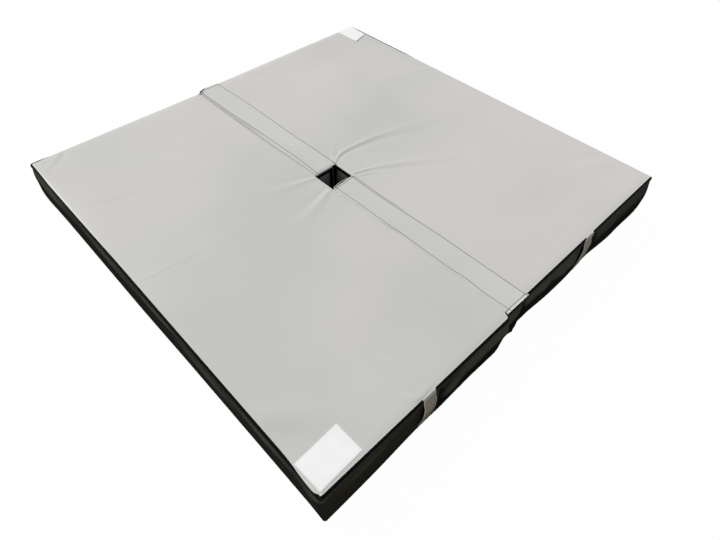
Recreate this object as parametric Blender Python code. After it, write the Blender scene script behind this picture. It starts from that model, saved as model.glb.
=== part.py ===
"""Landing mat of two foam halves laid side by side round a square post hole.

X runs across the seam, Y along it and Z up, in metres. The origin is on the floor under the
middle of the mat. Each half is a sewn cover of vinyl and mesh over two layers of foam. Two
flaps sewn to the right half reach over the seam and hold the left half by hook and loop.
"""

import math
from dataclasses import dataclass

import bmesh
import bpy
import numpy as np

# The mat as laid
HALF_WIDTH = 1.2132
LENGTH = 2.4384
HEIGHT = 0.2540
SEAM_GAP = 0.0120
SETBACK = 0.0180

# Sewn sheets
SHEET = 0.0012
FIT = 0.0003
OUTER_CORNER = 0.0140
SEAM_CORNER = 0.0120
TOP_RIM = 0.0070
TOP_SKIRT = 0.0020
BASE_RIM = 0.0100
BASE_SKIRT = 0.0030
BINDING_HEIGHT = 0.0120
CROWN = 0.0060
CROWN_BORDER = 0.2250
CROWN_RAMP = 0.3200
CROWN_STEPS = 4

# Post hole, a deep notch in the left half and a shallow one in the right half
LEFT_NOTCH_DEPTH = 0.1270
RIGHT_NOTCH_DEPTH = 0.0127
NOTCH_LENGTH = 0.1524

# Foam
FIRM_LAYER = 0.0508

# Seam on the left half's front wall, where mesh meets vinyl
FRONT_SEAM_FROM_CORNER = 0.6110
SEAM_TAPE_WIDTH = 0.0160
SEAM_TAPE = 0.0010

# Carrying straps on the front and back walls
STRAP_FROM_END = 0.5610
STRAP_WIDTH = 0.0730
STRAP = 0.0030
STRAP_STANDOFF = 0.0210
STRAP_TAB = 0.0110
STRAP_BEND = 0.0230
STRAP_TOP_INSET = 0.0060
STRAP_BASE_INSET = 0.0150

# Flaps with hook under them and loop on the left half
FLAP = 0.0020
FLAP_WIDTH = 0.1524
FLAP_STITCH_INSET = 0.0127
FLAP_END_INSET = 0.0040
FLAP_HOLE_INSET = 0.0010
FLAP_RISE_LENGTH = 0.0190
FLAP_RISE_CLEARANCE = 0.0010
FLAP_CORNER_CUT = 0.0240
FASTENER_WIDTH = 0.0508
FASTENER_EDGE_INSET = 0.0040
HOOK = 0.0015
HOOK_END_INSET = 0.0120
HOOK_PAST_CUT = 0.0030
LOOP = 0.0015
LOOP_SEAM_INSET = 0.0075
LOOP_END_INSET = 0.0075

# Blank patches at two corners of the top, each width across the seam by length along it
NEAR_PATCH_WIDTH = 0.2080
NEAR_PATCH_LENGTH = 0.1450
FAR_PATCH_WIDTH = 0.1380
FAR_PATCH_LENGTH = 0.2030
PATCH = 0.0006
NEAR_PATCH_SIDE_INSET = 0.0130
NEAR_PATCH_END_INSET = 0.0200
FAR_PATCH_SIDE_INSET = 0.0090
FAR_PATCH_END_INSET = 0.0120
PATCH_CORNER = 0.0060

# Zip across each back wall
ZIP_HEIGHT = 0.1270
ZIP_TAPE_WIDTH = 0.0220
ZIP_END_INSET = 0.0500
CHAIN_WIDTH = 0.0060
CHAIN_RIDGE_WIDTH = 0.0030
CHAIN = 0.0024
CHAIN_SHOULDER = 0.0017
ZIP_STOP_LENGTH = 0.0050
ZIP_STOP_WIDTH = 0.0072
SLIDER_LENGTH = 0.0220
SLIDER_PLATE = 0.0013
SLIDER_FLANGE = 0.0024
ZIP_CLEARANCE = 0.0004
BRIDGE_WIDTH = 0.0030
BRIDGE = 0.0014
PULL_LENGTH = 0.0340
PULL_WIDTH = 0.0100
PULL = 0.0016
PULL_CORNER = 0.0008
PULL_WINDOW_LENGTH = 0.0070
PULL_WINDOW_MARGIN = 0.0010

# Points nearer than SNAP count as one, and faces within FLAT_ANGLE degrees as flat
SNAP = 0.00001
FLAT_ANGLE = 0.02
EMPTY_SIZE = 0.1
ARC_STEPS = 6
RIM_STEPS = (0.0, 1.0 - math.cos(math.radians(45.0)), 1.0)

# Finish: colour, roughness, metallic
GREY_VINYL = ((0.580, 0.573, 0.550), 0.48, 0.0)
BLACK_VINYL = ((0.016, 0.016, 0.015), 0.50, 0.0)
BLACK_MESH = ((0.022, 0.022, 0.019), 0.85, 0.0)
BLACK_BASE = ((0.012, 0.012, 0.012), 0.75, 0.0)
STRAP_VINYL = ((0.420, 0.400, 0.365), 0.50, 0.0)
BLACK_TAPE = ((0.012, 0.012, 0.013), 0.90, 0.0)
WHITE_PATCH = ((0.820, 0.820, 0.810), 0.40, 0.0)
SOFT_FOAM = ((0.780, 0.740, 0.560), 0.95, 0.0)
FIRM_FOAM = ((0.160, 0.170, 0.190), 0.90, 0.0)
ZIP_PLASTIC = ((0.020, 0.020, 0.020), 0.40, 0.0)
ZIP_METAL = ((0.300, 0.300, 0.300), 0.35, 1.0)

# Heights and places that several pieces share
TOP_SEAM = HEIGHT - TOP_RIM - TOP_SKIRT
BASE_SEAM = BASE_RIM + BASE_SKIRT
BINDING_TOP = TOP_SEAM - FIT
BINDING_BASE = BINDING_TOP - BINDING_HEIGHT
WALL_TOP = BINDING_BASE - FIT
WALL_BASE = BASE_SEAM + FIT
FOAM_INSET = SHEET + FIT
FOAM_SPLIT = HEIGHT - FOAM_INSET - FIRM_LAYER
HINGE_X = SEAM_GAP / 2 + FLAP_STITCH_INSET
FREE_EDGE_X = HINGE_X - FLAP_WIDTH
FASTENER_NEAR_X = FREE_EDGE_X + FASTENER_EDGE_INSET
HOOK_FAR_X = FASTENER_NEAR_X + FASTENER_WIDTH
LOOP_FAR_X = -SEAM_GAP / 2 - LOOP_SEAM_INSET
FLAP_UNDERSIDE = HEIGHT + FIT
FLAP_RAISE = LOOP + HOOK + 2 * FIT
HINGE_Z = FLAP_UNDERSIDE + FLAP / 2


@dataclass(frozen=True)
class Half:
    """One half of the mat; u runs from its seam face to its outer face, v along the seam."""

    name: str
    side: int
    middle: float
    notch: float

    def x(self, u):
        """World X of a distance u from the seam face."""
        return self.side * (SEAM_GAP / 2 + u)

    def y(self, v):
        """World Y of a distance v from the half's mid-length."""
        return self.middle + v

    def strap_u(self):
        """Distance of the straps' middle from the seam face."""
        return HALF_WIDTH - STRAP_FROM_END if self.side < 0 else STRAP_FROM_END


LEFT = Half("left", -1, -SETBACK / 2, LEFT_NOTCH_DEPTH)
RIGHT = Half("right", 1, SETBACK / 2, RIGHT_NOTCH_DEPTH)


@dataclass(frozen=True)
class Body:
    """A group of pieces that moves as one, held by an empty on its joint's axis."""

    empty: bpy.types.Object
    origin: tuple


def clear_scene():
    """Remove every object of the open file."""
    for item in list(bpy.data.objects):
        bpy.data.objects.remove(item, do_unlink=True)


def add_body(name, origin, parent=None):
    """Add the empty that carries one body, at a world place."""
    empty = bpy.data.objects.new(name, None)
    empty.empty_display_size = EMPTY_SIZE
    bpy.context.scene.collection.objects.link(empty)
    base = parent.origin if parent else (0.0, 0.0, 0.0)
    if parent:
        empty.parent = parent.empty
    empty.location = [place - start for place, start in zip(origin, base)]
    return Body(empty, tuple(origin))


def make_material(name, finish):
    """A Principled material with one piece's colour, roughness and metallic value."""
    colour, roughness, metallic = finish
    material = bpy.data.materials.new(name)
    material.use_nodes = True
    shader = material.node_tree.nodes["Principled BSDF"]
    shader.inputs["Base Color"].default_value = (*colour, 1.0)
    shader.inputs["Roughness"].default_value = roughness
    shader.inputs["Metallic"].default_value = metallic
    return material


def add_node(name, verts, faces, body, finish, merge_flat=False):
    """Add one closed piece whose vertices are given in world places."""
    mesh = bpy.data.meshes.new(name)
    places = np.asarray(verts, dtype=float) - np.asarray(body.origin)
    mesh.from_pydata(places.tolist(), [], faces)
    shell = bmesh.new()
    shell.from_mesh(mesh)
    loose = [vert for vert in shell.verts if not vert.link_faces]
    bmesh.ops.delete(shell, geom=loose, context="VERTS")
    if merge_flat:
        bmesh.ops.dissolve_limit(shell, angle_limit=math.radians(FLAT_ANGLE),
                                 verts=shell.verts, edges=shell.edges)
    bmesh.ops.recalc_face_normals(shell, faces=shell.faces)
    shell.to_mesh(mesh)
    shell.free()
    mesh.materials.append(make_material(name + "_finish", finish))
    item = bpy.data.objects.new(name, mesh)
    bpy.context.scene.collection.objects.link(item)
    item.parent = body.empty
    return item


def extrude(points, along, low, high):
    """A prism: a closed outline in the plane square to one axis, carried along that axis."""
    order = {"X": lambda a, b, c: (c, a, b), "Y": lambda a, b, c: (a, c, b),
             "Z": lambda a, b, c: (a, b, c)}[along]
    count = len(points)
    verts = [order(a, b, end) for end in (low, high) for a, b in points]
    faces = [tuple(range(count)), tuple(range(count, 2 * count))]
    faces += [(k, (k + 1) % count, (k + 1) % count + count, k + count) for k in range(count)]
    return verts, faces


def box(low, high):
    """A box between two opposite corners, given in any order."""
    outline = [(low[0], low[1]), (high[0], low[1]), (high[0], high[1]), (low[0], high[1])]
    return extrude(outline, "Z", low[2], high[2])


def ribbon(path, thickness):
    """The outline of a flat band seen edge on: a path and the same path one thickness aside."""
    path = np.asarray(path, dtype=float)
    steps = np.diff(path, axis=0)
    steps /= np.linalg.norm(steps, axis=1)[:, None]
    tangent = np.vstack([steps[:1], steps[:-1] + steps[1:], steps[-1:]])
    tangent /= np.linalg.norm(tangent, axis=1)[:, None]
    normal = np.column_stack([-tangent[:, 1], tangent[:, 0]])
    return np.vstack([path, (path + normal * thickness)[::-1]]).tolist()


def rounded_rectangle(low, high, radius):
    """The outline of a rectangle with round corners."""
    centres = [(high[0] - radius, high[1] - radius, 0), (low[0] + radius, high[1] - radius, 90),
               (low[0] + radius, low[1] + radius, 180), (high[0] - radius, low[1] + radius, 270)]
    angles = [(x, y, math.radians(start + 90 * step / ARC_STEPS))
              for x, y, start in centres for step in range(ARC_STEPS + 1)]
    return [(x + radius * math.cos(turn), y + radius * math.sin(turn)) for x, y, turn in angles]


class PlanGrid:
    """Grid over a half's plan, with lines at its rim, corners, notch and crown.

    A rim line lies at a share q of the rim's radius inside the edge. Insetting the plan moves
    each line inward by 1 - q of the inset, so that the rim's inner and outer arcs stay round
    the same centre.
    """

    def __init__(self, half, rim, crowned):
        self.half = half
        self.rim = rim
        self.crowned = crowned
        rings = [rim * step for step in RIM_STEPS]
        u = rings + [SEAM_CORNER, HALF_WIDTH - OUTER_CORNER] + [HALF_WIDTH - d for d in rings]
        v_half = [LENGTH / 2 - d for d in rings] + [LENGTH / 2 - SEAM_CORNER,
                                                    LENGTH / 2 - OUTER_CORNER]
        if crowned:
            ramp = [CROWN_BORDER + CROWN_RAMP * step / CROWN_STEPS
                    for step in range(CROWN_STEPS + 1)]
            u += ramp + [HALF_WIDTH - d for d in ramp]
            v_half += [LENGTH / 2 - d for d in ramp]
        u += [half.notch + d for d in rings]
        v_half += [NOTCH_LENGTH / 2 + d for d in rings]
        self.u = self.unique(u)
        self.v = self.unique(v_half + [-v for v in v_half])
        self.kept = self.kept_cells()
        self.share = self.rim_share()

    @staticmethod
    def unique(places):
        """Sorted places with repeats left out."""
        places = sorted(places)
        kept = [places[0]]
        for place in places[1:]:
            if place - kept[-1] > SNAP:
                kept.append(place)
        return np.array(kept)

    def kept_cells(self):
        """Which grid cells the half fills: all but those in its notch."""
        u_mid = (self.u[:-1] + self.u[1:]) / 2
        v_mid = (self.v[:-1] + self.v[1:]) / 2
        inside = np.abs(v_mid[None, :]) < NOTCH_LENGTH / 2
        return ~(inside & (u_mid[:, None] < self.half.notch))

    def rim_share(self):
        """How far into the rim each grid point lies, from 0 at the edge to 1 past the rim."""
        across = np.minimum(self.u, HALF_WIDTH - self.u)
        lengthwise = LENGTH / 2 - np.abs(self.v)
        share = np.minimum(across[:, None], lengthwise[None, :]) / self.rim
        past_end = np.maximum(self.u - self.half.notch, 0.0)[:, None]
        past_side = np.maximum(np.abs(self.v) - NOTCH_LENGTH / 2, 0.0)[None, :]
        share = np.minimum(share, np.hypot(past_end, past_side) / self.rim)
        return np.clip(share, 0.0, 1.0)

    def weight(self, distance):
        """How much of an inset a line takes, at a distance inside an edge."""
        return np.where(distance > -SNAP, np.clip(1.0 - distance / self.rim, 0.0, 1.0), 0.0)

    def plan(self, inset):
        """World X and Y of every grid point of the plan drawn in by an inset."""
        u = self.u + inset * (self.weight(self.u) - self.weight(HALF_WIDTH - self.u))
        v = self.v + inset * (self.weight(self.v + LENGTH / 2) - self.weight(LENGTH / 2 - self.v))
        u = u + inset * self.weight(self.u - self.half.notch)
        v = v + inset * np.sign(self.v) * self.weight(np.abs(self.v) - NOTCH_LENGTH / 2)
        u, v = np.meshgrid(u, v, indexing="ij")
        for u_edge, radius in ((0.0, SEAM_CORNER), (HALF_WIDTH, OUTER_CORNER)):
            for v_edge in (-LENGTH / 2, LENGTH / 2):
                u, v = self.round_corner(u, v, u_edge, v_edge, radius)
        return self.half.x(u), self.half.y(v)

    @staticmethod
    def round_corner(u, v, u_edge, v_edge, radius):
        """Bend the square rings round one corner of the plan into arcs round one centre."""
        u_sign = 1.0 if u_edge == 0.0 else -1.0
        v_sign = 1.0 if v_edge < 0.0 else -1.0
        a = radius - u_sign * (u - u_edge)
        b = radius - v_sign * (v - v_edge)
        inside = (a > 0.0) & (b > 0.0)
        ring = np.maximum(a, b)
        turn = math.pi / 4 * np.minimum(a, b) / np.where(inside, ring, 1.0)
        far, near = ring * np.cos(turn), ring * np.sin(turn)
        new_a = np.where(a >= b, far, near)
        new_b = np.where(a >= b, near, far)
        return (np.where(inside, u_edge + u_sign * (radius - new_a), u),
                np.where(inside, v_edge + v_sign * (radius - new_b), v))

    def crown(self):
        """Rise of the top inside its flat border, a smooth ramp from every edge."""
        def ramp(distance):
            step = np.clip((distance - CROWN_BORDER) / CROWN_RAMP, 0.0, 1.0)
            return step * step * (3.0 - 2.0 * step)

        across = ramp(np.minimum(self.u, HALF_WIDTH - self.u))
        lengthwise = ramp(LENGTH / 2 - np.abs(self.v))
        return CROWN * across[:, None] * lengthwise[None, :]

    def rim_rise(self, inset):
        """Height over the rim's centre line of the rounded surface at an inset."""
        return (self.rim - inset) * np.sqrt(1.0 - (1.0 - self.share) ** 2)

    def upper(self, inset):
        """Points of the rounded, crowned top surface drawn in by an inset."""
        x, y = self.plan(inset)
        z = HEIGHT - self.rim + self.rim_rise(inset) + self.crown()
        return np.stack([x, y, z], axis=-1)

    def lower(self, inset):
        """Points of the rounded floor surface drawn in by an inset."""
        x, y = self.plan(inset)
        return np.stack([x, y, self.rim - self.rim_rise(inset)], axis=-1)

    def level(self, inset, z):
        """Points of a flat surface at one height, drawn in by an inset."""
        x, y = self.plan(inset)
        return np.stack([x, y, np.full_like(x, z)], axis=-1)

    def solid(self, layers):
        """A closed shell from point layers: the first and last are filled, the rest are rings."""
        rows, columns = len(self.u), len(self.v)
        size = rows * columns
        verts = np.concatenate([layer.reshape(size, 3) for layer in layers])

        def at(i, j):
            return i * columns + j

        faces = []
        last = (len(layers) - 1) * size
        for i, j in zip(*np.nonzero(self.kept)):
            a, b, c, d = at(i, j), at(i + 1, j), at(i + 1, j + 1), at(i, j + 1)
            faces += [(a, b, c), (a, c, d)]
            faces += [(last + c, last + b, last + a), (last + d, last + c, last + a)]
            edges = {(-1, 0): (d, a), (1, 0): (b, c), (0, -1): (a, b), (0, 1): (c, d)}
            for (di, dj), (start, end) in edges.items():
                if not self.is_kept(i + di, j + dj):
                    for k in range(len(layers) - 1):
                        low, high = k * size, (k + 1) * size
                        faces.append((end + low, start + low, start + high, end + high))
        return verts, faces

    def is_kept(self, i, j):
        """Whether a cell lies on the grid and is filled."""
        rows, columns = self.kept.shape
        return 0 <= i < rows and 0 <= j < columns and bool(self.kept[i, j])


def build_panels(half, body):
    """The grey top panel with its turned-down rim, and the black floor panel."""
    top = PlanGrid(half, TOP_RIM, crowned=True)
    layers = [top.upper(0.0), top.level(0.0, TOP_SEAM), top.level(SHEET, TOP_SEAM),
              top.upper(SHEET)]
    add_node(half.name + "_top_panel", *top.solid(layers), body, GREY_VINYL, merge_flat=True)
    base = PlanGrid(half, BASE_RIM, crowned=False)
    layers = [base.lower(SHEET), base.level(SHEET, BASE_SEAM), base.level(0.0, BASE_SEAM),
              base.lower(0.0)]
    add_node(half.name + "_base_panel", *base.solid(layers), body, BLACK_BASE, merge_flat=True)


def build_foam(half, body):
    """The soft block on the floor panel and the firm layer under the top panel."""
    base = PlanGrid(half, BASE_RIM, crowned=False)
    layers = [base.level(FOAM_INSET, FOAM_SPLIT - FIT / 2), base.lower(FOAM_INSET)]
    add_node(half.name + "_soft_foam", *base.solid(layers), body, SOFT_FOAM, merge_flat=True)
    top = PlanGrid(half, TOP_RIM, crowned=True)
    layers = [top.upper(FOAM_INSET), top.level(FOAM_INSET, FOAM_SPLIT + FIT / 2)]
    add_node(half.name + "_firm_foam", *top.solid(layers), body, FIRM_FOAM, merge_flat=True)


def wall_outline(half, corners, radii):
    """The plan outline of a wall that follows corner points, one sheet thick.

    Corners are (u, v) points of the outer face, in order. A radius is given for each point
    between the ends, and every bend is a right angle round the half's inside.
    """
    def arc_route(points, radii_left):
        route = [points[0]]
        for before, corner, after, radius in zip(points, points[1:], points[2:], radii_left):
            into = np.sign(np.subtract(corner, before))
            out = np.sign(np.subtract(after, corner))
            centre = np.asarray(corner) + radius * (out - into)
            for step in range(ARC_STEPS + 1):
                turn = math.pi / 2 * step / ARC_STEPS
                route.append(tuple(centre - radius * out * math.cos(turn)
                                   + radius * into * math.sin(turn)))
        return route + [points[-1]]

    def inward(start, end):
        direction = np.sign(np.subtract(end, start))
        return np.array([-direction[1], direction[0]])

    sides = [inward(start, end) for start, end in zip(corners, corners[1:])]
    shifts = [sides[0]] + [a + b for a, b in zip(sides, sides[1:])] + [sides[-1]]
    inner = [tuple(np.asarray(point) + SHEET * shift) for point, shift in zip(corners, shifts)]
    outline = arc_route(corners, radii) + arc_route(inner, [r - SHEET for r in radii])[::-1]
    kept = [point for k, point in enumerate(outline)
            if math.dist(point, outline[k - 1]) > SNAP]
    return [(half.x(u), half.y(v)) for u, v in kept]


def build_walls(half, body):
    """The standing side walls between the base panel and the binding."""
    front, back, outer = -LENGTH / 2, LENGTH / 2, HALF_WIDTH
    run_start = SEAM_CORNER + FIT
    run_end = outer - OUTER_CORNER - FIT
    outer_finish = BLACK_MESH if half is LEFT else BLACK_VINYL
    outline = wall_outline(half, [(outer - OUTER_CORNER, front), (outer, front), (outer, back),
                                  (outer - OUTER_CORNER, back)], [OUTER_CORNER, OUTER_CORNER])
    add_node(half.name + "_outer_wall", *extrude(outline, "Z", WALL_BASE, WALL_TOP), body,
             outer_finish)

    def flat_wall(name, u_low, u_high, face, z_low, z_high, finish):
        inside = face + (SHEET if face < 0 else -SHEET)
        verts, faces = box((half.x(u_low), half.y(face), z_low),
                           (half.x(u_high), half.y(inside), z_high))
        add_node(name, verts, faces, body, finish)

    if half is LEFT:
        seam = outer - FRONT_SEAM_FROM_CORNER
        flat_wall("left_front_vinyl_wall", run_start, seam - FIT / 2, front, WALL_BASE,
                  WALL_TOP, BLACK_VINYL)
        flat_wall("left_front_mesh_wall", seam + FIT / 2, run_end, front, WALL_BASE,
                  WALL_TOP, BLACK_MESH)
        verts, faces = box(
            (half.x(seam - SEAM_TAPE_WIDTH / 2), half.y(front) - FIT - SEAM_TAPE, WALL_BASE),
            (half.x(seam + SEAM_TAPE_WIDTH / 2), half.y(front) - FIT, WALL_TOP))
        add_node("left_front_seam_tape", verts, faces, body, BLACK_TAPE)
    else:
        flat_wall("right_front_wall", run_start, run_end, front, WALL_BASE, WALL_TOP,
                  BLACK_VINYL)
    slot = ZIP_TAPE_WIDTH / 2
    flat_wall(half.name + "_back_wall_lower", run_start, run_end, back, WALL_BASE,
              ZIP_HEIGHT - slot - FIT, BLACK_VINYL)
    flat_wall(half.name + "_back_wall_upper", run_start, run_end, back,
              ZIP_HEIGHT + slot + FIT, WALL_TOP, BLACK_VINYL)
    flat_wall(half.name + "_zip_tape", run_start, run_end, back, ZIP_HEIGHT - slot,
              ZIP_HEIGHT + slot, BLACK_TAPE)
    build_seam_walls(half, body)


def build_seam_walls(half, body):
    """The wall that faces the other half, in two lengths, and the walls of the notch between."""
    front, back, mouth = -LENGTH / 2, LENGTH / 2, NOTCH_LENGTH / 2

    def upright(name, outline):
        add_node(f"{half.name}_{name}", *extrude(outline, "Z", WALL_BASE, BINDING_TOP), body,
                 BLACK_VINYL)

    def block(u_low, u_high, v_low, v_high):
        return [(half.x(u_low), half.y(v_low)), (half.x(u_high), half.y(v_low)),
                (half.x(u_high), half.y(v_high)), (half.x(u_low), half.y(v_high))]

    upright("seam_wall_front", wall_outline(
        half, [(0.0, -mouth), (0.0, front), (SEAM_CORNER, front)], [SEAM_CORNER]))
    upright("seam_wall_back", wall_outline(
        half, [(SEAM_CORNER, back), (0.0, back), (0.0, mouth)], [SEAM_CORNER]))
    upright("hole_wall_front", block(SHEET + FIT, half.notch - FIT, -mouth - SHEET, -mouth))
    upright("hole_wall_back", block(SHEET + FIT, half.notch - FIT, mouth, mouth + SHEET))
    upright("hole_wall_end", block(half.notch, half.notch + SHEET, -mouth - SHEET,
                                   mouth + SHEET))


def build_binding(half, body):
    """The flush tape under the top panel's rim, round the three outer sides."""
    front, back, outer = -LENGTH / 2, LENGTH / 2, HALF_WIDTH
    start = SEAM_CORNER + FIT
    outline = wall_outline(half, [(start, front), (outer, front), (outer, back), (start, back)],
                           [OUTER_CORNER, OUTER_CORNER])
    add_node(half.name + "_top_binding", *extrude(outline, "Z", BINDING_BASE, BINDING_TOP),
             body, BLACK_TAPE)


def strap_path():
    """A strap's inner face from its top tab to its bottom tab, as (distance out, height)."""
    top = HEIGHT - STRAP_TOP_INSET
    base = STRAP_BASE_INSET
    rise = STRAP_STANDOFF - FIT
    path = [(FIT, top)]
    for step in range(ARC_STEPS + 1):
        turn = math.pi * step / ARC_STEPS
        path.append((FIT + rise * (1 - math.cos(turn)) / 2,
                     top - STRAP_TAB - STRAP_BEND * step / ARC_STEPS))
    for step in range(ARC_STEPS + 1):
        turn = math.pi * step / ARC_STEPS
        path.append((FIT + rise * (1 + math.cos(turn)) / 2,
                     base + STRAP_TAB + STRAP_BEND * (1 - step / ARC_STEPS)))
    return path + [(FIT, base)]


def build_straps(half, body):
    """A carrying strap on the front wall and one on the back wall."""
    outline = ribbon(strap_path(), STRAP)
    x_middle = half.x(half.strap_u())
    for end, direction in (("front", -1), ("back", 1)):
        face = half.y(direction * LENGTH / 2)
        profile = [(face + direction * out, z) for out, z in outline]
        verts, faces = extrude(profile, "X", x_middle - STRAP_WIDTH / 2,
                               x_middle + STRAP_WIDTH / 2)
        add_node(f"{half.name}_{end}_strap", verts, faces, body, STRAP_VINYL)


def build_patches(left_body, right_body):
    """The blank patch at the near corner and the one at the far corner."""
    low_x = LEFT.x(HALF_WIDTH) + NEAR_PATCH_SIDE_INSET
    low_y = LEFT.y(-LENGTH / 2) + NEAR_PATCH_END_INSET
    outline = rounded_rectangle((low_x, low_y),
                                (low_x + NEAR_PATCH_WIDTH, low_y + NEAR_PATCH_LENGTH),
                                PATCH_CORNER)
    verts, faces = extrude(outline, "Z", HEIGHT + FIT, HEIGHT + FIT + PATCH)
    add_node("near_patch", verts, faces, left_body, WHITE_PATCH)
    high_x = RIGHT.x(HALF_WIDTH) - FAR_PATCH_SIDE_INSET
    high_y = RIGHT.y(LENGTH / 2) - FAR_PATCH_END_INSET
    outline = rounded_rectangle((high_x - FAR_PATCH_WIDTH, high_y - FAR_PATCH_LENGTH),
                                (high_x, high_y), PATCH_CORNER)
    verts, faces = extrude(outline, "Z", HEIGHT + FIT, HEIGHT + FIT + PATCH)
    add_node("far_patch", verts, faces, right_body, WHITE_PATCH)


def add_cutter(name, verts, faces, body):
    """A guide solid that only shapes another piece."""
    cutter = add_node(name, verts, faces, body, ZIP_METAL)
    cutter.hide_render = True
    cutter.display_type = "WIRE"
    return cutter


def add_boolean(item, tool, operation):
    """Cut or join a piece with a guide solid."""
    modifier = item.modifiers.new(operation.lower(), "BOOLEAN")
    modifier.operation = operation
    modifier.solver = "EXACT"
    modifier.object = tool


def flap_path():
    """A flap's underside from its hinge line to its free edge, as (X, Z).

    It steps up over the loop strip and again over the hook strip.
    """
    path = [(HINGE_X, FLAP_UNDERSIDE)]
    for far_x, thickness in ((LOOP_FAR_X, LOOP), (HOOK_FAR_X, HOOK)):
        start_x = far_x + FLAP_RISE_CLEARANCE + FLAP_RISE_LENGTH
        base = path[-1][1]
        for step in range(ARC_STEPS + 1):
            turn = math.pi * step / ARC_STEPS
            path.append((start_x - FLAP_RISE_LENGTH * step / ARC_STEPS,
                         base + (thickness + FIT) * (1 - math.cos(turn)) / 2))
    path.append((FREE_EDGE_X, path[-1][1]))
    return path


def slant(hinge_y, free_y):
    """A line across a flap in plan, as Y for a given X, from its hinge line to its free edge."""
    return lambda x: hinge_y + (free_y - hinge_y) * (HINGE_X - x) / FLAP_WIDTH


def build_leaf(side, body, low, high):
    """A flap's leaf, round at its hinge line, between the lines of its two ends."""
    path = flap_path()
    outline = ribbon(path[::-1], FLAP)
    edge = [(HINGE_X + FLAP / 2 * math.sin(turn), HINGE_Z - FLAP / 2 * math.cos(turn))
            for turn in (math.pi * k / ARC_STEPS for k in range(1, ARC_STEPS))]
    half_way = len(path)
    outline = outline[:half_way] + edge + outline[half_way:]
    _, faces = extrude(outline, "Y", 0.0, 1.0)
    verts = [(x, end(x), z) for end in (low, high) for x, z in outline]
    return add_node(side + "_flap_leaf", verts, faces, body, GREY_VINYL)


def fastener_outline(low, high, far):
    """The plan outline of a fastener strip out to far, between two lines across the flap."""
    near = FASTENER_NEAR_X
    return [(near, low(near)), (far, low(far)), (far, high(far)), (near, high(near))]


def build_hook(side, body, outline):
    """The hook strip under a flap."""
    base = HEIGHT + FIT + LOOP + FIT
    add_node(side + "_flap_hook", *extrude(outline, "Z", base, base + HOOK), body, BLACK_TAPE)


def build_loop(side, body, outline):
    """The wide loop strip on the left half's top, under a flap."""
    add_node(side + "_loop", *extrude(outline, "Z", HEIGHT + FIT, HEIGHT + FIT + LOOP), body,
             BLACK_TAPE)


def cut_corner(leaf, body, y_high):
    """Cut the back flap's free corner across the width of its hook strip."""
    width = FASTENER_EDGE_INSET + FASTENER_WIDTH
    margin = FLAP / width
    near_x = FREE_EDGE_X - width * margin
    near_y = y_high - FLAP_CORNER_CUT * (1 + margin)
    far_x = FREE_EDGE_X + width * (1 + margin)
    far_y = y_high + FLAP_CORNER_CUT * margin
    outline = [(near_x, near_y), (far_x, far_y), (near_x, far_y)]
    base = FLAP_UNDERSIDE + FLAP_RAISE
    tool = add_cutter("back_flap_corner_guide",
                      *extrude(outline, "Z", base - FLAP, base + 2 * FLAP), body)
    add_boolean(leaf, tool, "DIFFERENCE")


def build_flaps(front_body, back_body, left_body):
    """The front flap and the back flap, whose ends at the hole follow both notches."""
    mouth = NOTCH_LENGTH / 2

    def level(y):
        return lambda x: y

    def at_hole(side, inset):
        reach = side * (mouth + inset)
        return slant(RIGHT.y(reach), LEFT.y(reach))

    front = RIGHT.y(-LENGTH / 2) + FLAP_END_INSET
    back = RIGHT.y(LENGTH / 2) - FLAP_END_INSET
    strip_inset = FLAP_HOLE_INSET + HOOK_END_INSET
    build_leaf("front", front_body, level(front), at_hole(-1, FLAP_HOLE_INSET))
    outline = fastener_outline(level(front + HOOK_END_INSET), at_hole(-1, strip_inset),
                               HOOK_FAR_X)
    build_hook("front", front_body, outline)
    build_loop("front", left_body, fastener_outline(
        level(LEFT.y(-LENGTH / 2) + LOOP_END_INSET), level(LEFT.y(-mouth - strip_inset)),
        LOOP_FAR_X))
    leaf = build_leaf("back", back_body, at_hole(1, FLAP_HOLE_INSET), level(back))
    cut_corner(leaf, back_body, back)
    outline = fastener_outline(at_hole(1, strip_inset), level(back + HOOK_PAST_CUT),
                               HOOK_FAR_X)
    near_x, near_y = outline[-1]
    outline[-1] = (near_x, near_y - FLAP_CORNER_CUT)
    build_hook("back", back_body, outline)
    build_loop("back", left_body, fastener_outline(
        at_hole(1, strip_inset), level(LEFT.y(LENGTH / 2) - LOOP_END_INSET), LOOP_FAR_X))


def zip_places(half):
    """World X of the zip's closed and open ends, and the direction of opening."""
    closed = half.x(HALF_WIDTH - ZIP_END_INSET)
    opened = half.x(ZIP_END_INSET)
    return closed, opened, -half.side


def build_zip_track(half, body):
    """The closed chain across the back wall and the stop at each end."""
    closed, opened, direction = zip_places(half)
    face = half.y(LENGTH / 2) + FIT
    profile = [(face, ZIP_HEIGHT - CHAIN_WIDTH / 2), (face, ZIP_HEIGHT + CHAIN_WIDTH / 2),
               (face + CHAIN_SHOULDER, ZIP_HEIGHT + CHAIN_WIDTH / 2),
               (face + CHAIN, ZIP_HEIGHT + CHAIN_RIDGE_WIDTH / 2),
               (face + CHAIN, ZIP_HEIGHT - CHAIN_RIDGE_WIDTH / 2),
               (face + CHAIN_SHOULDER, ZIP_HEIGHT - CHAIN_WIDTH / 2)]
    add_node(half.name + "_zip_chain", *extrude(profile, "X", closed, opened), body,
             ZIP_PLASTIC)
    for name, start, away in (("closed", closed, -direction), ("open", opened, direction)):
        verts, faces = box((start + away * FIT, face, ZIP_HEIGHT - ZIP_STOP_WIDTH / 2),
                           (start + away * (FIT + ZIP_STOP_LENGTH), face + CHAIN,
                            ZIP_HEIGHT + ZIP_STOP_WIDTH / 2))
        add_node(f"{half.name}_zip_stop_{name}", verts, faces, body, ZIP_METAL)


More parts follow.
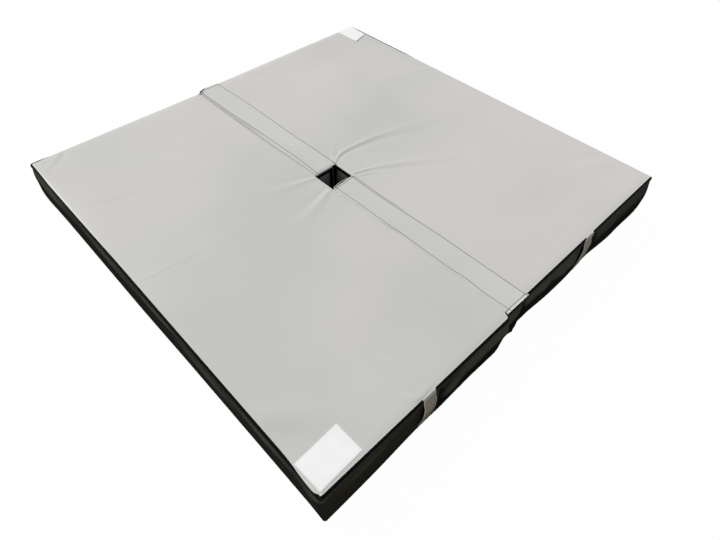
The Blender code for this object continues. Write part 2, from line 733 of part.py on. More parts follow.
def slider_measures(half):
    """Distances out from the back wall that the slider and its pull share."""
    face = half.y(LENGTH / 2) + FIT
    plate_base = face + CHAIN + ZIP_CLEARANCE
    plate_top = plate_base + SLIDER_PLATE
    bar_room = PULL / math.sqrt(2) + ZIP_CLEARANCE
    return face, plate_base, plate_top, plate_top + bar_room, bar_room


def slider_place(half):
    """World X of the slider's middle with the zip closed."""
    closed, _, direction = zip_places(half)
    return closed + direction * SLIDER_LENGTH / 2


def build_slider(half, body):
    """The slider that straddles the chain, with the arch that holds its pull."""
    face, plate_base, plate_top, axis_y, bar_room = slider_measures(half)
    middle = slider_place(half)
    inner = CHAIN_WIDTH / 2 + ZIP_CLEARANCE
    outer = inner + SLIDER_FLANGE
    profile = [(face, ZIP_HEIGHT - outer), (face, ZIP_HEIGHT - inner),
               (plate_base, ZIP_HEIGHT - inner), (plate_base, ZIP_HEIGHT + inner),
               (face, ZIP_HEIGHT + inner), (face, ZIP_HEIGHT + outer),
               (plate_top, ZIP_HEIGHT + outer), (plate_top, ZIP_HEIGHT - outer)]
    item = add_node(half.name + "_zip_slider",
                    *extrude(profile, "X", middle - SLIDER_LENGTH / 2,
                             middle + SLIDER_LENGTH / 2), body, ZIP_METAL)
    room = bar_room + BRIDGE
    arch_top = axis_y + room
    root = plate_top - SLIDER_PLATE / 2
    arch = [(middle - room, root), (middle - bar_room, root),
            (middle - bar_room, axis_y + bar_room), (middle + bar_room, axis_y + bar_room),
            (middle + bar_room, root), (middle + room, root),
            (middle + room, arch_top), (middle - room, arch_top)]
    tool = add_cutter(half.name + "_zip_bridge_guide",
                      *extrude(arch, "Z", ZIP_HEIGHT - BRIDGE_WIDTH / 2,
                               ZIP_HEIGHT + BRIDGE_WIDTH / 2), body)
    add_boolean(item, tool, "UNION")


def build_pull(half, body):
    """The pull tab, a plate whose window goes round the slider's arch."""
    _, _, direction = zip_places(half)
    _, _, _, axis_y, _ = slider_measures(half)
    middle = slider_place(half)
    window = BRIDGE_WIDTH / 2 + PULL_WINDOW_MARGIN
    near = middle - direction * PULL / 2
    far = middle + direction * PULL_LENGTH
    outline = rounded_rectangle((min(near, far), ZIP_HEIGHT - PULL_WIDTH / 2),
                                (max(near, far), ZIP_HEIGHT + PULL_WIDTH / 2), PULL_CORNER)
    item = add_node(half.name + "_zip_pull",
                    *extrude(outline, "Y", axis_y - PULL / 2, axis_y + PULL / 2), body,
                    ZIP_METAL)
    start = middle + direction * PULL / 2
    tool = add_cutter(half.name + "_zip_window_guide",
                      *box((start, axis_y - PULL, ZIP_HEIGHT - window),
                           (start + direction * PULL_WINDOW_LENGTH, axis_y + PULL,
                            ZIP_HEIGHT + window)), body)
    add_boolean(item, tool, "DIFFERENCE")


def build_zip(half, body):
    """The whole zip of one half: track, slider and pull."""
    build_zip_track(half, body)
    _, _, _, axis_y, _ = slider_measures(half)
    place = (slider_place(half), axis_y, ZIP_HEIGHT)
    slider = add_body(half.name + "_zip_slide", place, body)
    build_slider(half, slider)
    build_pull(half, add_body(half.name + "_zip_hinge", place, slider))


def main():
    """Build the whole mat."""
    clear_scene()
    left = add_body("left_half", (LEFT.x(0.0), LEFT.middle, 0.0))
    right = add_body("right_half", (RIGHT.x(0.0), RIGHT.middle, 0.0))
    for half, body in ((LEFT, left), (RIGHT, right)):
        build_panels(half, body)
        build_foam(half, body)
        build_walls(half, body)
        build_binding(half, body)
        build_straps(half, body)
        build_zip(half, body)
    build_patches(left, right)
    flap_y = {"front": RIGHT.y(-LENGTH / 4), "back": RIGHT.y(LENGTH / 4)}
    front = add_body("front_flap_hinge", (HINGE_X, flap_y["front"], HINGE_Z), right)
    back = add_body("back_flap_hinge", (HINGE_X, flap_y["back"], HINGE_Z), right)
    build_flaps(front, back, left)


main()
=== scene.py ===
"""Looks of the landing mat: two sewn halves laid side by side round a square post hole.

X runs across the seam, Y along it and Z up, in metres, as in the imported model. Each half also
has its own plan measures: u runs from its seam face to its outer face, and v along the seam from
its mid-length. Every sewn piece is a surface worked out on a grid and closed with the cloth's
own thickness.
"""

from __future__ import annotations

import logging
import math
from dataclasses import dataclass, field
from enum import Enum
from functools import cached_property
from typing import Callable

import bmesh
import bpy
import numpy as np
from mathutils import Matrix

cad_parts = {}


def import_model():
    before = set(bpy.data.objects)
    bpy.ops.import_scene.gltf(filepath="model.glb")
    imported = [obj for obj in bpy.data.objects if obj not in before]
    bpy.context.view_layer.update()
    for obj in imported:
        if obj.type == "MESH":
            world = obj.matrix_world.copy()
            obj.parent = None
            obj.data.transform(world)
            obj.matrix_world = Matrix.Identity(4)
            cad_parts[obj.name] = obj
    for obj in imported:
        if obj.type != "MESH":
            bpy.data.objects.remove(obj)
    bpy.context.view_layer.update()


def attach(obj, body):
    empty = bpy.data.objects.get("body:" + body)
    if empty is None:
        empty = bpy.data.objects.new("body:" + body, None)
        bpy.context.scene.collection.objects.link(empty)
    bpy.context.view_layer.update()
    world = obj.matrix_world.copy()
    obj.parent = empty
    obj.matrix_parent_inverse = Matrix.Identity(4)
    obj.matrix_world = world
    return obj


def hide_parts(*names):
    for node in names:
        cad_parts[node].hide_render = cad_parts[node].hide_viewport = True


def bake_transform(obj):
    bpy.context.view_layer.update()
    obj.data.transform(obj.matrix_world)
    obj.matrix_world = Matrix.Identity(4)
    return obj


LOG = logging.getLogger("landing_mat")

Point = tuple[float, float, float]
Colour = tuple[float, float, float]
Array = np.ndarray
Knots = tuple[tuple[float, float], ...]
Material = bpy.types.Material
Socket = bpy.types.NodeSocket

UP = np.array([0.0, 0.0, 1.0])
WHITE: Colour = (1.0, 1.0, 1.0)


# Sizes that the sub-assemblies share


@dataclass(frozen=True)
class MatSizes:
    """The mat as packed, in metres."""

    half_width: float = 1.2132
    length: float = 2.4384
    height: float = 0.2540
    seam_gap: float = 0.0120
    setback: float = 0.0180
    sheet: float = 0.0012
    fit: float = 0.0003
    outer_corner: float = 0.0140
    seam_corner: float = 0.0120
    top_rim: float = 0.0070
    top_skirt: float = 0.0020
    base_rim: float = 0.0100
    base_skirt: float = 0.0030
    binding_height: float = 0.0120
    crown: float = 0.0060
    crown_border: float = 0.2250
    crown_ramp: float = 0.3200
    left_notch: float = 0.1270
    right_notch: float = 0.0127
    notch_length: float = 0.1524
    firm_layer: float = 0.0508

    @property
    def top_seam(self) -> float:
        """Height of the top panel's lower edge."""
        return self.height - self.top_rim - self.top_skirt

    @property
    def base_seam(self) -> float:
        """Height of the base panel's upper edge."""
        return self.base_rim + self.base_skirt

    @property
    def binding_top(self) -> float:
        """Height of the binding's upper edge."""
        return self.top_seam - self.fit

    @property
    def binding_base(self) -> float:
        """Height of the binding's lower edge."""
        return self.binding_top - self.binding_height

    @property
    def wall_top(self) -> float:
        """Height of the walls' upper edge."""
        return self.binding_base - self.fit

    @property
    def wall_base(self) -> float:
        """Height of the walls' lower edge."""
        return self.base_seam + self.fit


SIZES = MatSizes()


def smooth(value: Array, low: float, high: float) -> Array:
    """A smooth step from 0 at low to 1 at high: 3 t squared less 2 t cubed."""
    t = np.clip((np.asarray(value, dtype=float) - low) / (high - low), 0.0, 1.0)
    return t * t * (3.0 - 2.0 * t)


def fade(value: Array, low: float, high: float) -> Array:
    """A smooth step from 1 at low to 0 at high."""
    return 1.0 - smooth(value, low, high)


def hump(value: Array, middle: float, width: float) -> Array:
    """A bell curve of height 1: e to the minus square of the distance over the width."""
    return np.exp(-(((np.asarray(value, dtype=float) - middle) / width) ** 2))


def along(value: Array, knots: Knots) -> Array:
    """A curve through (place, value) knots, a cubic between each pair.

    Its slope at a knot is the harmonic mean of the slopes on both sides, and level at a peak, so
    that the curve never runs past its knots.

    Args:
        value: Places to read the curve at.
        knots: Knots in rising order of place.

    Returns:
        The curve's value at each place, level beyond the end knots.
    """
    places, heights = np.array(knots).T
    grades = np.diff(heights) / np.diff(places)
    same = grades[:-1] * grades[1:]
    total = np.where(same > 0.0, grades[:-1] + grades[1:], 1.0)
    inner = np.where(same > 0.0, 2.0 * same / total, 0.0)
    slopes = np.concatenate([grades[:1], inner, grades[-1:]])
    value = np.clip(np.asarray(value, dtype=float), places[0], places[-1])
    k = np.clip(np.searchsorted(places, value, side="right") - 1, 0, len(places) - 2)
    span = places[k + 1] - places[k]
    t = (value - places[k]) / span
    rest = 1.0 - t
    return (heights[k] * (1.0 + 2.0 * t) * rest ** 2 + heights[k + 1] * (3.0 - 2.0 * t) * t ** 2
            + span * t * rest * (slopes[k] * rest - slopes[k + 1] * t))


def steps(low: float, high: float, spacing: float) -> Array:
    """Evenly spaced places from low to high, no wider apart than the spacing."""
    return np.linspace(low, high, max(2, math.ceil(abs(high - low) / spacing - 1e-9) + 1))


def lattice(rows: Array, columns: Array) -> tuple[Array, Array]:
    """Two grids that give each crossing's row place and column place."""
    return tuple(np.meshgrid(rows, columns, indexing="ij"))


def unit_lattice(rows: int, columns: int, low: float = 0.0) -> tuple[Array, Array]:
    """Even grids from 0 to 1 down the rows and from low to 1 across the columns."""
    return lattice(np.linspace(0.0, 1.0, rows), np.linspace(low, 1.0, columns))


def round_corners(u: Array, v: Array, sides: tuple[Point, Point],
                  ends: tuple[tuple[float, float], tuple[float, float]]) -> tuple[Array, Array]:
    """Plan places, with those in each corner's square moved onto rings round its centre.

    A point's ring is the larger of its two distances past the centre, and its angle on the ring
    is an eighth of a turn times the share of the smaller distance in the larger one.

    Args:
        u: Places across.
        v: Places along.
        sides: Place, inward direction and corner radius of the two edges across.
        ends: Place and inward direction of the two edges along.

    Returns:
        Both kinds of places again.
    """
    for u_edge, u_sign, radius in sides:
        for v_edge, v_sign in ends:
            a = radius - u_sign * (u - u_edge)
            b = radius - v_sign * (v - v_edge)
            inside = (a > 0.0) & (b > 0.0)
            ring = np.maximum(a, b)
            turn = math.pi / 4 * np.minimum(a, b) / np.where(inside, ring, 1.0)
            far, near = ring * np.cos(turn), ring * np.sin(turn)
            u = np.where(inside, u_edge + u_sign * (radius - np.where(a >= b, far, near)), u)
            v = np.where(inside, v_edge + v_sign * (radius - np.where(a >= b, near, far)), v)
    return u, v


# Meshes


@dataclass
class Sewn:
    """A mesh in the making: points, faces and what its material reads."""

    points: Array
    faces: list[tuple[int, ...]]
    uv: Array | None = None
    marks: dict[str, Array] = field(default_factory=dict)


def grid_faces(rows: int, columns: int) -> Array:
    """Quads of a grid, wound from its rows to its columns."""
    index = np.arange(rows * columns).reshape(rows, columns)
    return np.stack([index[:-1, :-1], index[1:, :-1], index[1:, 1:], index[:-1, 1:]],
                    axis=-1).reshape(-1, 4)


def grid_border(rows: int, columns: int) -> Array:
    """Indices round a grid's border, in the winding of its faces."""
    index = np.arange(rows * columns).reshape(rows, columns)
    return np.concatenate([index[:-1, 0], index[-1, :-1], index[:0:-1, -1], index[0, :0:-1]])


def grid_normals(points: Array) -> Array:
    """Unit normals of a grid of points: rows' direction crossed with the columns' direction."""
    normal = np.cross(np.gradient(points, axis=0), np.gradient(points, axis=1))
    return normal / np.linalg.norm(normal, axis=-1, keepdims=True)


def close_sheet(outer: Array, inner: Array, uv: tuple[Array, Array] | None = None,
                marks: dict[str, Array] | None = None, swell: float = 0.35) -> Sewn:
    """A closed sheet between two grids of points, with a rounded edge all round.

    The edge is a ring half-way between both borders, pushed out by a share of the thickness,
    along the line from each border point's inner neighbour.

    Args:
        outer: Grid of points of the outer face, rows by columns by 3.
        inner: Grid of the same shape for the inner face.
        uv: The outer grid's two flat cloth coordinates in metres.
        marks: Values by name for the outer grid, which the inner face shares.
        swell: How far the edge ring stands out, as a share of the thickness.

    Returns:
        The closed sheet.
    """
    rows, columns = outer.shape[:2]
    size = rows * columns
    flat_outer, flat_inner = outer.reshape(size, 3), inner.reshape(size, 3)
    border = grid_border(rows, columns)
    r, c = np.divmod(border, columns)
    inside = np.clip(r, 1, rows - 2) * columns + np.clip(c, 1, columns - 2)
    away = flat_outer[border] - flat_outer[inside]
    away /= np.maximum(np.linalg.norm(away, axis=1, keepdims=True), 1e-9)
    thick = np.linalg.norm(flat_outer[border] - flat_inner[border], axis=1, keepdims=True)
    ring = (flat_outer[border] + flat_inner[border]) / 2 + away * thick * swell
    points = np.concatenate([flat_outer, flat_inner, ring])
    faces = grid_faces(rows, columns)
    a, b = border, np.roll(border, -1)
    ring_a = 2 * size + np.arange(len(border))
    ring_b = np.roll(ring_a, -1)
    quads = np.concatenate([faces, faces[:, ::-1] + size,
                            np.stack([b, a, ring_a, ring_b], axis=-1),
                            np.stack([ring_b, ring_a, a + size, b + size], axis=-1)])
    made = Sewn(points, quads.tolist())
    source = np.concatenate([np.arange(size), np.arange(size), border])
    if uv is not None:
        made.uv = np.stack(np.broadcast_arrays(*uv), axis=-1).reshape(size, 2)[source]
    made.marks = {name: values.reshape(size)[source] for name, values in (marks or {}).items()}
    return made


def new_object(name: str, data: bpy.types.ID) -> bpy.types.Object:
    """A new object of the scene, at its origin.

    Args:
        name: Its name.
        data: Its mesh, lamp or camera.

    Returns:
        The object.
    """
    item = bpy.data.objects.new(name, data)
    bpy.context.scene.collection.objects.link(item)
    return item


def add_piece(name: str, made: Sewn, finish: Finish, body: str | None, *nodes: str,
              crease_angle: float = 45.0) -> bpy.types.Object:
    """Put a finished mesh into the scene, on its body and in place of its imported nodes.

    Args:
        name: Name of the new object.
        made: The mesh, its flat coordinates and its marks.
        finish: Finish of the whole piece, which also names its material slot.
        body: Body that carries the piece, or None where it is blended between two.
        nodes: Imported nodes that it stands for.
        crease_angle: Edges sharper than this many degrees stay sharp.

    Returns:
        The new object.
    """
    mesh = bpy.data.meshes.new(name)
    mesh.from_pydata(made.points.tolist(), [], made.faces)
    if made.uv is not None:
        corners = np.empty(len(mesh.loops), dtype=np.int32)
        mesh.loops.foreach_get("vertex_index", corners)
        layer = mesh.uv_layers.new(name="cloth")
        layer.data.foreach_set("uv", made.uv[corners].astype(np.float32).ravel())
    for label, values in made.marks.items():
        mark = mesh.attributes.new(label, "FLOAT", "POINT")
        mark.data.foreach_set("value", values.astype(np.float32))
    shell = bmesh.new()
    shell.from_mesh(mesh)
    bmesh.ops.recalc_face_normals(shell, faces=shell.faces)
    shell.to_mesh(mesh)
    shell.free()
    mesh.shade_smooth()
    mesh.set_sharp_from_angle(angle=math.radians(crease_angle))
    mesh.materials.append(finish.material)
    item = new_object(name, mesh)
    if body is not None:
        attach(item, body)
    if nodes:
        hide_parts(*nodes)
    LOG.info("%s: %d faces", name, len(mesh.polygons))
    return item


# Shader tools


def joined(operation: str, swapped: bool = False) -> Callable[[Value, object], Value]:
    """A method that adds one Math node on a value and another.

    Args:
        operation: The node's operation.
        swapped: Whether the other comes first.

    Returns:
        The method.
    """
    def method(self: Value, other: object) -> Value:
        """The operation on both."""
        return self.nodes.math(operation, *((other, self) if swapped else (self, other)))

    return method


class Value:
    """A shader socket on which ordinary arithmetic adds Math nodes."""

    __add__ = __radd__ = joined("ADD")
    __sub__, __rsub__ = joined("SUBTRACT"), joined("SUBTRACT", True)
    __mul__ = __rmul__ = joined("MULTIPLY")
    __truediv__, __rtruediv__ = joined("DIVIDE"), joined("DIVIDE", True)
    __pow__ = joined("POWER")
    larger = joined("MAXIMUM")

    def __init__(self, nodes: Nodes, socket: Socket) -> None:
        """Wrap one output socket of a tree."""
        self.nodes = nodes
        self.socket = socket

    def __abs__(self) -> Value:
        """This without its sign."""
        return self.nodes.math("ABSOLUTE", self)

    def sine(self) -> Value:
        """The sine of this, in radians."""
        return self.nodes.math("SINE", self)

    def fraction(self) -> Value:
        """This less the whole number below it."""
        return self.nodes.math("FRACT", self)

    def ease(self, low: float, high: float) -> Value:
        """A smooth step from 0 at low to 1 at high."""
        return Value(self.nodes, self.nodes.node(
            "ShaderNodeMapRange", {"interpolation_type": "SMOOTHSTEP"},
            {"Value": self, "From Min": low, "From Max": high}).outputs["Result"])


class Nodes:
    """A node tree in the making, with short ways to add its nodes."""

    def __init__(self, tree: bpy.types.NodeTree) -> None:
        """Start on a tree."""
        self.tree = tree

    def node(self, kind: str, settings: dict[str, object],
             inputs: dict[str | int, object]) -> bpy.types.Node:
        """Add one node, set it up, then fill or link its sockets.

        Args:
            kind: The node's type.
            settings: Properties of the node.
            inputs: Values, sockets or wrapped sockets by input name or number.

        Returns:
            The new node.
        """
        made = self.tree.nodes.new(kind)
        for key, value in settings.items():
            setattr(made, key, value)
        for key, value in inputs.items():
            self.fill(made.inputs[key], value)
        return made

    def fill(self, socket: Socket, value: object) -> None:
        """Link a socket, or set its number, colour or vector.

        Args:
            socket: The input socket.
            value: What it gets; three numbers make an opaque colour.
        """
        if isinstance(value, Value):
            self.tree.links.new(value.socket, socket)
        elif isinstance(value, Socket):
            self.tree.links.new(value, socket)
        elif socket.type == "RGBA":
            socket.default_value = (*value, 1.0)
        else:
            socket.default_value = value

    def math(self, operation: str, *values: object) -> Value:
        """One Math node on its values."""
        made = self.node("ShaderNodeMath", {"operation": operation}, dict(enumerate(values)))
        return Value(self, made.outputs[0])

    def seen(self) -> Value:
        """Mask of the rays that show the backdrop straight, in gloss or through glass.

        Returns:
            1 for such a ray, else 0.
        """
        path = self.node("ShaderNodeLightPath", {}, {})
        camera = Value(self, path.outputs["Is Camera Ray"])
        return camera.larger(path.outputs["Is Glossy Ray"]).larger(
            path.outputs["Is Transmission Ray"])


class Surface(Nodes):
    """A material in the making."""

    def __init__(self, name: str) -> None:
        """Start a material that holds only its shader and output.

        Args:
            name: The material's name.
        """
        self.material = bpy.data.materials.new(name)
        self.material.use_nodes = True
        super().__init__(self.material.node_tree)
        self.shader = self.tree.nodes["Principled BSDF"]
        self.tone: Socket | None = None
        self.normal: Socket | None = None

    def mix(self, factor: object, low: object, high: object) -> Socket:
        """A colour between two others."""
        made = self.node("ShaderNodeMix", {"data_type": "RGBA"}, {0: factor, 6: low, 7: high})
        return made.outputs[2]

    def ground(self, factor: object, low: Colour, high: Colour) -> None:
        """Start the base colour, between two others."""
        self.tone = self.mix(factor, low, high)

    def coat(self, factor: object, colour: Colour) -> None:
        """Lay a colour over the base colour where the factor is 1."""
        self.tone = self.mix(factor, self.tone, colour)

    def places(self) -> Socket:
        """The piece's own object coordinates, in metres."""
        return self.node("ShaderNodeTexCoord", {}, {}).outputs["Object"]

    def cloth(self) -> tuple[Value, Value]:
        """The flat cloth coordinates of a piece, in metres."""
        layer = self.node("ShaderNodeUVMap", {"uv_map": "cloth"}, {})
        parts = self.node("ShaderNodeSeparateXYZ", {}, {0: layer.outputs[0]})
        return Value(self, parts.outputs[0]), Value(self, parts.outputs[1])

    def mark(self, name: str) -> Value:
        """A value that a piece's mesh carries by name."""
        made = self.node("ShaderNodeAttribute", {"attribute_name": name}, {})
        return Value(self, made.outputs["Fac"])

    def noise(self, scale: float, detail: float = 2.0, rough: float = 0.5,
              stretch: Point = (1.0, 1.0, 1.0)) -> Value:
        """Soft noise from about 0 to 1.

        Args:
            scale: Cells to the metre.
            detail: How many finer layers it has.
            rough: How strong the finer layers are.
            stretch: Factors on X, Y and Z; less than 1 draws the cells out.

        Returns:
            The noise.
        """
        place = self.node("ShaderNodeMapping", {}, {"Vector": self.places(), "Scale": stretch})
        made = self.node("ShaderNodeTexNoise", {},
                         {"Vector": place.outputs[0], "Scale": scale, "Detail": detail,
                          "Roughness": rough})
        return Value(self, made.outputs["Fac"])

    def cells(self, scale: float) -> Value:
        """Distance to the middle of the nearest random cell, with this many to the metre."""
        made = self.node("ShaderNodeTexVoronoi", {"feature": "F1"},
                         {"Vector": self.places(), "Scale": scale})
        return Value(self, made.outputs["Distance"])

    def wave(self, place: Value, pitch: float) -> Value:
        """A sine from 0 to 1 that repeats each pitch."""
        return (place * (2.0 * math.pi / pitch)).sine() * 0.5 + 0.5

    def emboss(self, height: object, distance: float, strength: float) -> None:
        """Lay a bump over the normal.

        Args:
            height: Height map from 0 to 1.
            distance: Metres that a height of 1 stands for.
            strength: Share of the bump that shows.
        """
        inputs = {"Height": height, "Distance": distance, "Strength": strength}
        if self.normal is not None:
            inputs["Normal"] = self.normal
        self.normal = self.node("ShaderNodeBump", {}, inputs).outputs[0]

    def grain(self, cells: float, specks: Value, distance: float, strength: float) -> None:
        """Lay fine grain: shallow cells, so many to the metre, and specks of noise over them."""
        self.emboss(self.cells(cells) * 0.4 + specks, distance, strength)

    def finish(self, roughness: object, specular: float = 0.5, metallic: float = 0.0) -> None:
        """Fill the shader's sockets.

        Args:
            roughness: Roughness.
            specular: Specular IOR Level.
            metallic: Metallic value.
        """
        for name, value in (("Base Color", self.tone), ("Roughness", roughness),
                            ("Metallic", metallic), ("Normal", self.normal),
                            ("Specular IOR Level", specular)):
            self.fill(self.shader.inputs[name], value)


def stitch_line(across: Value, run: Value, place: float | Value, pitch: float = 0.0042,
                width: float = 0.0007) -> tuple[Value, Value]:
    """Masks of one sewn line, its thread dashes and the soft groove that they pull.

    Args:
        across: Distance across the line, in metres.
        run: Distance along it.
        place: Where the line lies across.
        pitch: Length of one stitch.
        width: Half the thread's width.

    Returns:
        The thread's mask and the groove's mask, each from 0 to 1.
    """
    away = abs(across - place)
    near = 1.0 - away.ease(width * 0.6, width * 1.5)
    dash = 1.0 - abs((run / pitch).fraction() - 0.5).ease(0.30, 0.40)
    groove = 1.0 - away.ease(width * 0.5, width * 4.0)
    return near * dash, groove


# Finishes


@dataclass(frozen=True)
class GreyVinyl:
    """Smooth coated cloth, pale grey, with a faint weave showing through its coat."""

    colour: Colour = (0.604, 0.598, 0.574)
    # Pale colour of random scuffs, and of the painted highlight on the rim.
    edge: Colour = (0.84, 0.84, 0.83)
    roughness: float = 0.50

    def make(self, s: Surface) -> None:
        """The cover's finish, paler where the mark called edge paints a highlight on the rim.

        Args:
            s: The material in the making.
        """
        cloud = s.noise(1.1, 2.0, 0.45)
        warm = s.noise(0.7, 1.0, 0.4)
        scuff = s.noise(14.0, 4.0, 0.6)
        deep = tuple(c * k for c, k in zip(self.colour, (0.93, 0.94, 0.935)))
        pale = tuple(c * k for c, k in zip(self.colour, (1.055, 1.045, 1.045)))
        s.ground(cloud.ease(0.30, 0.70), deep, pale)
        blush = tuple(c * k for c, k in zip(self.colour, (1.045, 1.015, 1.005)))
        s.coat(warm.ease(0.48, 0.72) * 0.35, blush)
        s.coat(scuff.ease(0.62, 0.80) * 0.10, self.edge)
        # Painted highlight: the mark called edge makes the rim's roll and a band beside the
        # binding paler.
        s.coat(s.mark("edge"), self.edge)
        s.grain(1500.0, s.noise(700.0, 3.0, 0.55), 0.00010, 0.55)
        s.emboss(s.noise(60.0, 3.0), 0.00025, 0.5)
        rough = scuff * 0.10 + (self.roughness - 0.05)
        s.finish(rough, 0.07)


@dataclass(frozen=True)
class FlapVinyl:
    """The cover's vinyl on a flap, with the stitch lines of its hems."""

    base: GreyVinyl = GreyVinyl()
    thread: Colour = (0.03, 0.03, 0.03)
    # Dark colour of painted shade: in the stitch grooves and on the back flap's hem.
    groove: Colour = (0.105, 0.105, 0.10)
    end_hem: float = 0.0130
    hole_hem: float = 0.0095
    twin_row: float = 0.0100

    def make(self, s: Surface) -> None:
        """The flap's finish; its marks give distances to its four edges in metres.

        Args:
            s: The material in the making.
        """
        cloud = s.noise(1.6, 2.0, 0.45)
        deep = tuple(c * 0.965 for c in self.base.colour)
        pale = tuple(c * 1.04 for c in self.base.colour)
        s.ground(cloud.ease(0.3, 0.7), deep, pale)
        free, stitch = s.mark("free_side"), s.mark("stitch_side")
        across, run = s.cloth()
        thread, groove = stitch_line(free, run, s.mark("hem_width"))
        for side, way, place, share in (
                (stitch, run, 0.0, 1.0), (s.mark("outer_end"), across, self.end_hem, 1.0),
                (s.mark("hole_end"), across, self.hole_hem, 1.0),
                (stitch, run, self.twin_row, s.mark("twin"))):
            more_thread, more_groove = stitch_line(side, way, place)
            thread = thread.larger(more_thread * share)
            groove = groove.larger(more_groove * share)
        # Pale ends and free edge: partly the cloth's raw edge, partly a painted highlight.
        s.coat(s.mark("edge"), self.base.edge)
        # Painted shade on the back flap's hem, which slopes down to its free edge.
        s.coat(s.mark("painted_shade") * 0.30, self.groove)
        # Painted shade along each sewn line's groove.
        s.coat(groove * 0.95, self.groove)
        s.coat(thread * 0.9, self.thread)
        # Painted shadow from the mark called knot: spots at the sewn corners and a line along the
        # back flap's end.
        s.coat(s.mark("knot"), self.thread)
        s.grain(1500.0, s.noise(700.0, 3.0, 0.55), 0.00010, 0.55)
        s.emboss(1.0 - groove, 0.0008, 0.6)
        s.finish(self.base.roughness, 0.07)


@dataclass(frozen=True)
class BlackVinyl:
    """Black coated cloth of the walls, lighter where its folds face up: painted sheen with some
    dust.
    """

    colour: Colour = (0.0150, 0.0154, 0.0134)
    # Pale colour of the painted sheen on folds that face up, of the mesh ribs and of the threads.
    dust: Colour = (0.080, 0.080, 0.062)
    roughness: float = 0.50
    ribs: float = 0.0
    ribs_pitch: float = 0.0060
    mesh_pitch: float = 0.0026

    def make(self, s: Surface) -> None:
        """The wall's finish; the mark called crest is high where a fold faces up.

        Args:
            s: The material in the making.
        """
        run, up = s.cloth()
        streak = s.noise(5.0, 3.0, 0.55, (1.0, 1.0, 3.0))
        # Painted sheen: the dust colour goes where the mark called crest says that a fold faces
        # up.
        crest = s.mark("crest") * (streak * 0.7 + 0.55)
        s.ground(crest, self.colour, self.dust)
        s.grain(1300.0, s.noise(900.0), 0.00012, 0.5)
        rough = self.roughness - s.mark("crest").ease(0.3, 1.0) * 0.08
        if self.ribs:
            rib = s.wave(run, self.ribs_pitch) ** 2.0
            s.coat(rib * self.ribs * 0.70, self.dust)
            hole = s.wave(run, self.mesh_pitch) * s.wave(up, self.mesh_pitch)
            s.coat(hole * 0.5 * self.ribs, (0.003, 0.003, 0.003))
            s.emboss(rib, 0.0008, 0.7 * self.ribs)
            s.emboss(1.0 - hole, 0.0006, 0.5 * self.ribs)
            rough = rough + 0.18
        for height, share in ((0.0032, 0.30), (0.0700, 0.30)):
            thread, groove = stitch_line(up, run, height)
            s.coat((thread * 0.9).larger(groove * 0.3) * share, self.dust)
            s.emboss(1.0 - groove, 0.0006, share)
        s.finish(rough, 0.0)


@dataclass(frozen=True)
class LiningVinyl:
    """Black vinyl that lines the post hole and the faces between the halves."""

    colour: Colour = (0.0045, 0.0050, 0.0050)
    dust: Colour = (0.060, 0.062, 0.056)
    roughness: float = 0.50

    def make(self, s: Surface) -> None:
        """The lining's finish, lighter where its mark called crest is high.

        Args:
            s: The material in the making.
        """
        patchy = s.noise(22.0, 3.0, 0.5)
        # Painted light: the dust colour follows the mark called crest, high on lit swells and low
        # in shaded corners.
        crest = s.mark("crest").ease(0.15, 0.95) * (patchy * 0.3 + 0.75)
        s.ground(crest, self.colour, self.dust)
        s.grain(1300.0, s.noise(900.0), 0.00012, 0.5)
        s.finish(self.roughness, 0.01)


@dataclass(frozen=True)
class WovenTape:
    """Woven edge tape, twilled across its run, with a sewn line near each edge."""

    colour: Colour = (0.0036, 0.0038, 0.0045)
    thread: Colour = (0.020, 0.020, 0.021)
    # Pale colour of the painted sheen.
    dust: Colour = (0.062, 0.068, 0.058)
    roughness: float = 0.62
    pitch: float = 0.0018
    stitch_places: tuple[float, ...] = (0.0030, 0.0098)

    def make(self, s: Surface) -> None:
        """The tape's finish, on its flat cloth coordinates, lighter where the mark called crest
        paints a sheen.

        Args:
            s: The material in the making.
        """
        run, up = s.cloth()
        twill = s.wave(run + up * 0.6, self.pitch)
        s.ground(twill * 0.5, self.colour, tuple(c * 2.2 for c in self.colour))
        s.coat(s.mark("crest"), self.dust)
        s.emboss(twill, 0.00025, 0.6)
        for place in self.stitch_places:
            thread, groove = stitch_line(up, run, place, pitch=0.0050)
            s.coat(thread * 0.8, self.thread)
            s.emboss(1.0 - groove, 0.0005, 0.5)
        s.finish(self.roughness, 0.02)


@dataclass(frozen=True)
class StrapVinyl:
    """Grey vinyl folded to a strap, with paler hems and a sewn line along each."""

    colour: Colour = (0.385, 0.352, 0.276)
    hem: Colour = (0.475, 0.443, 0.372)
    painted_highlight: Colour = (0.72, 0.70, 0.66)
    hem_width: float = 0.0075
    thread: Colour = (0.13, 0.12, 0.10)
    roughness: float = 0.48

    def make(self, s: Surface) -> None:
        """The strap's finish; its mark called side is the distance to its nearer long edge.

        Args:
            s: The material in the making.
        """
        _, run = s.cloth()
        side = s.mark("side")
        cloud = s.noise(9.0, 3.0, 0.5)
        s.ground(cloud.ease(0.3, 0.7), tuple(c * 0.93 for c in self.colour), self.colour)
        s.coat((1.0 - side.ease(self.hem_width - 0.001, self.hem_width)) * 0.75, self.hem)
        thread, groove = stitch_line(side, run, self.hem_width)
        # Painted shade along the sewn line's groove.
        s.coat(groove * 0.5, self.thread)
        s.coat(thread * 0.8, self.thread)
        # Painted highlights: a thin pale line on each long edge, and the top fold from the mark
        # called edge.
        s.coat(1.0 - side.ease(0.0015, 0.0035), self.painted_highlight)
        s.coat(s.mark("edge"), self.painted_highlight)
        # Painted shade: dark at the top end under the rim, and darker towards the lower end.
        for mark in ("end", "painted_shade"):
            s.coat(s.mark(mark), self.thread)
        s.grain(1500.0, s.noise(700.0, 3.0), 0.00010, 0.55)
        s.emboss(1.0 - groove, 0.0008, 0.6)
        s.finish(self.roughness, 0.0)


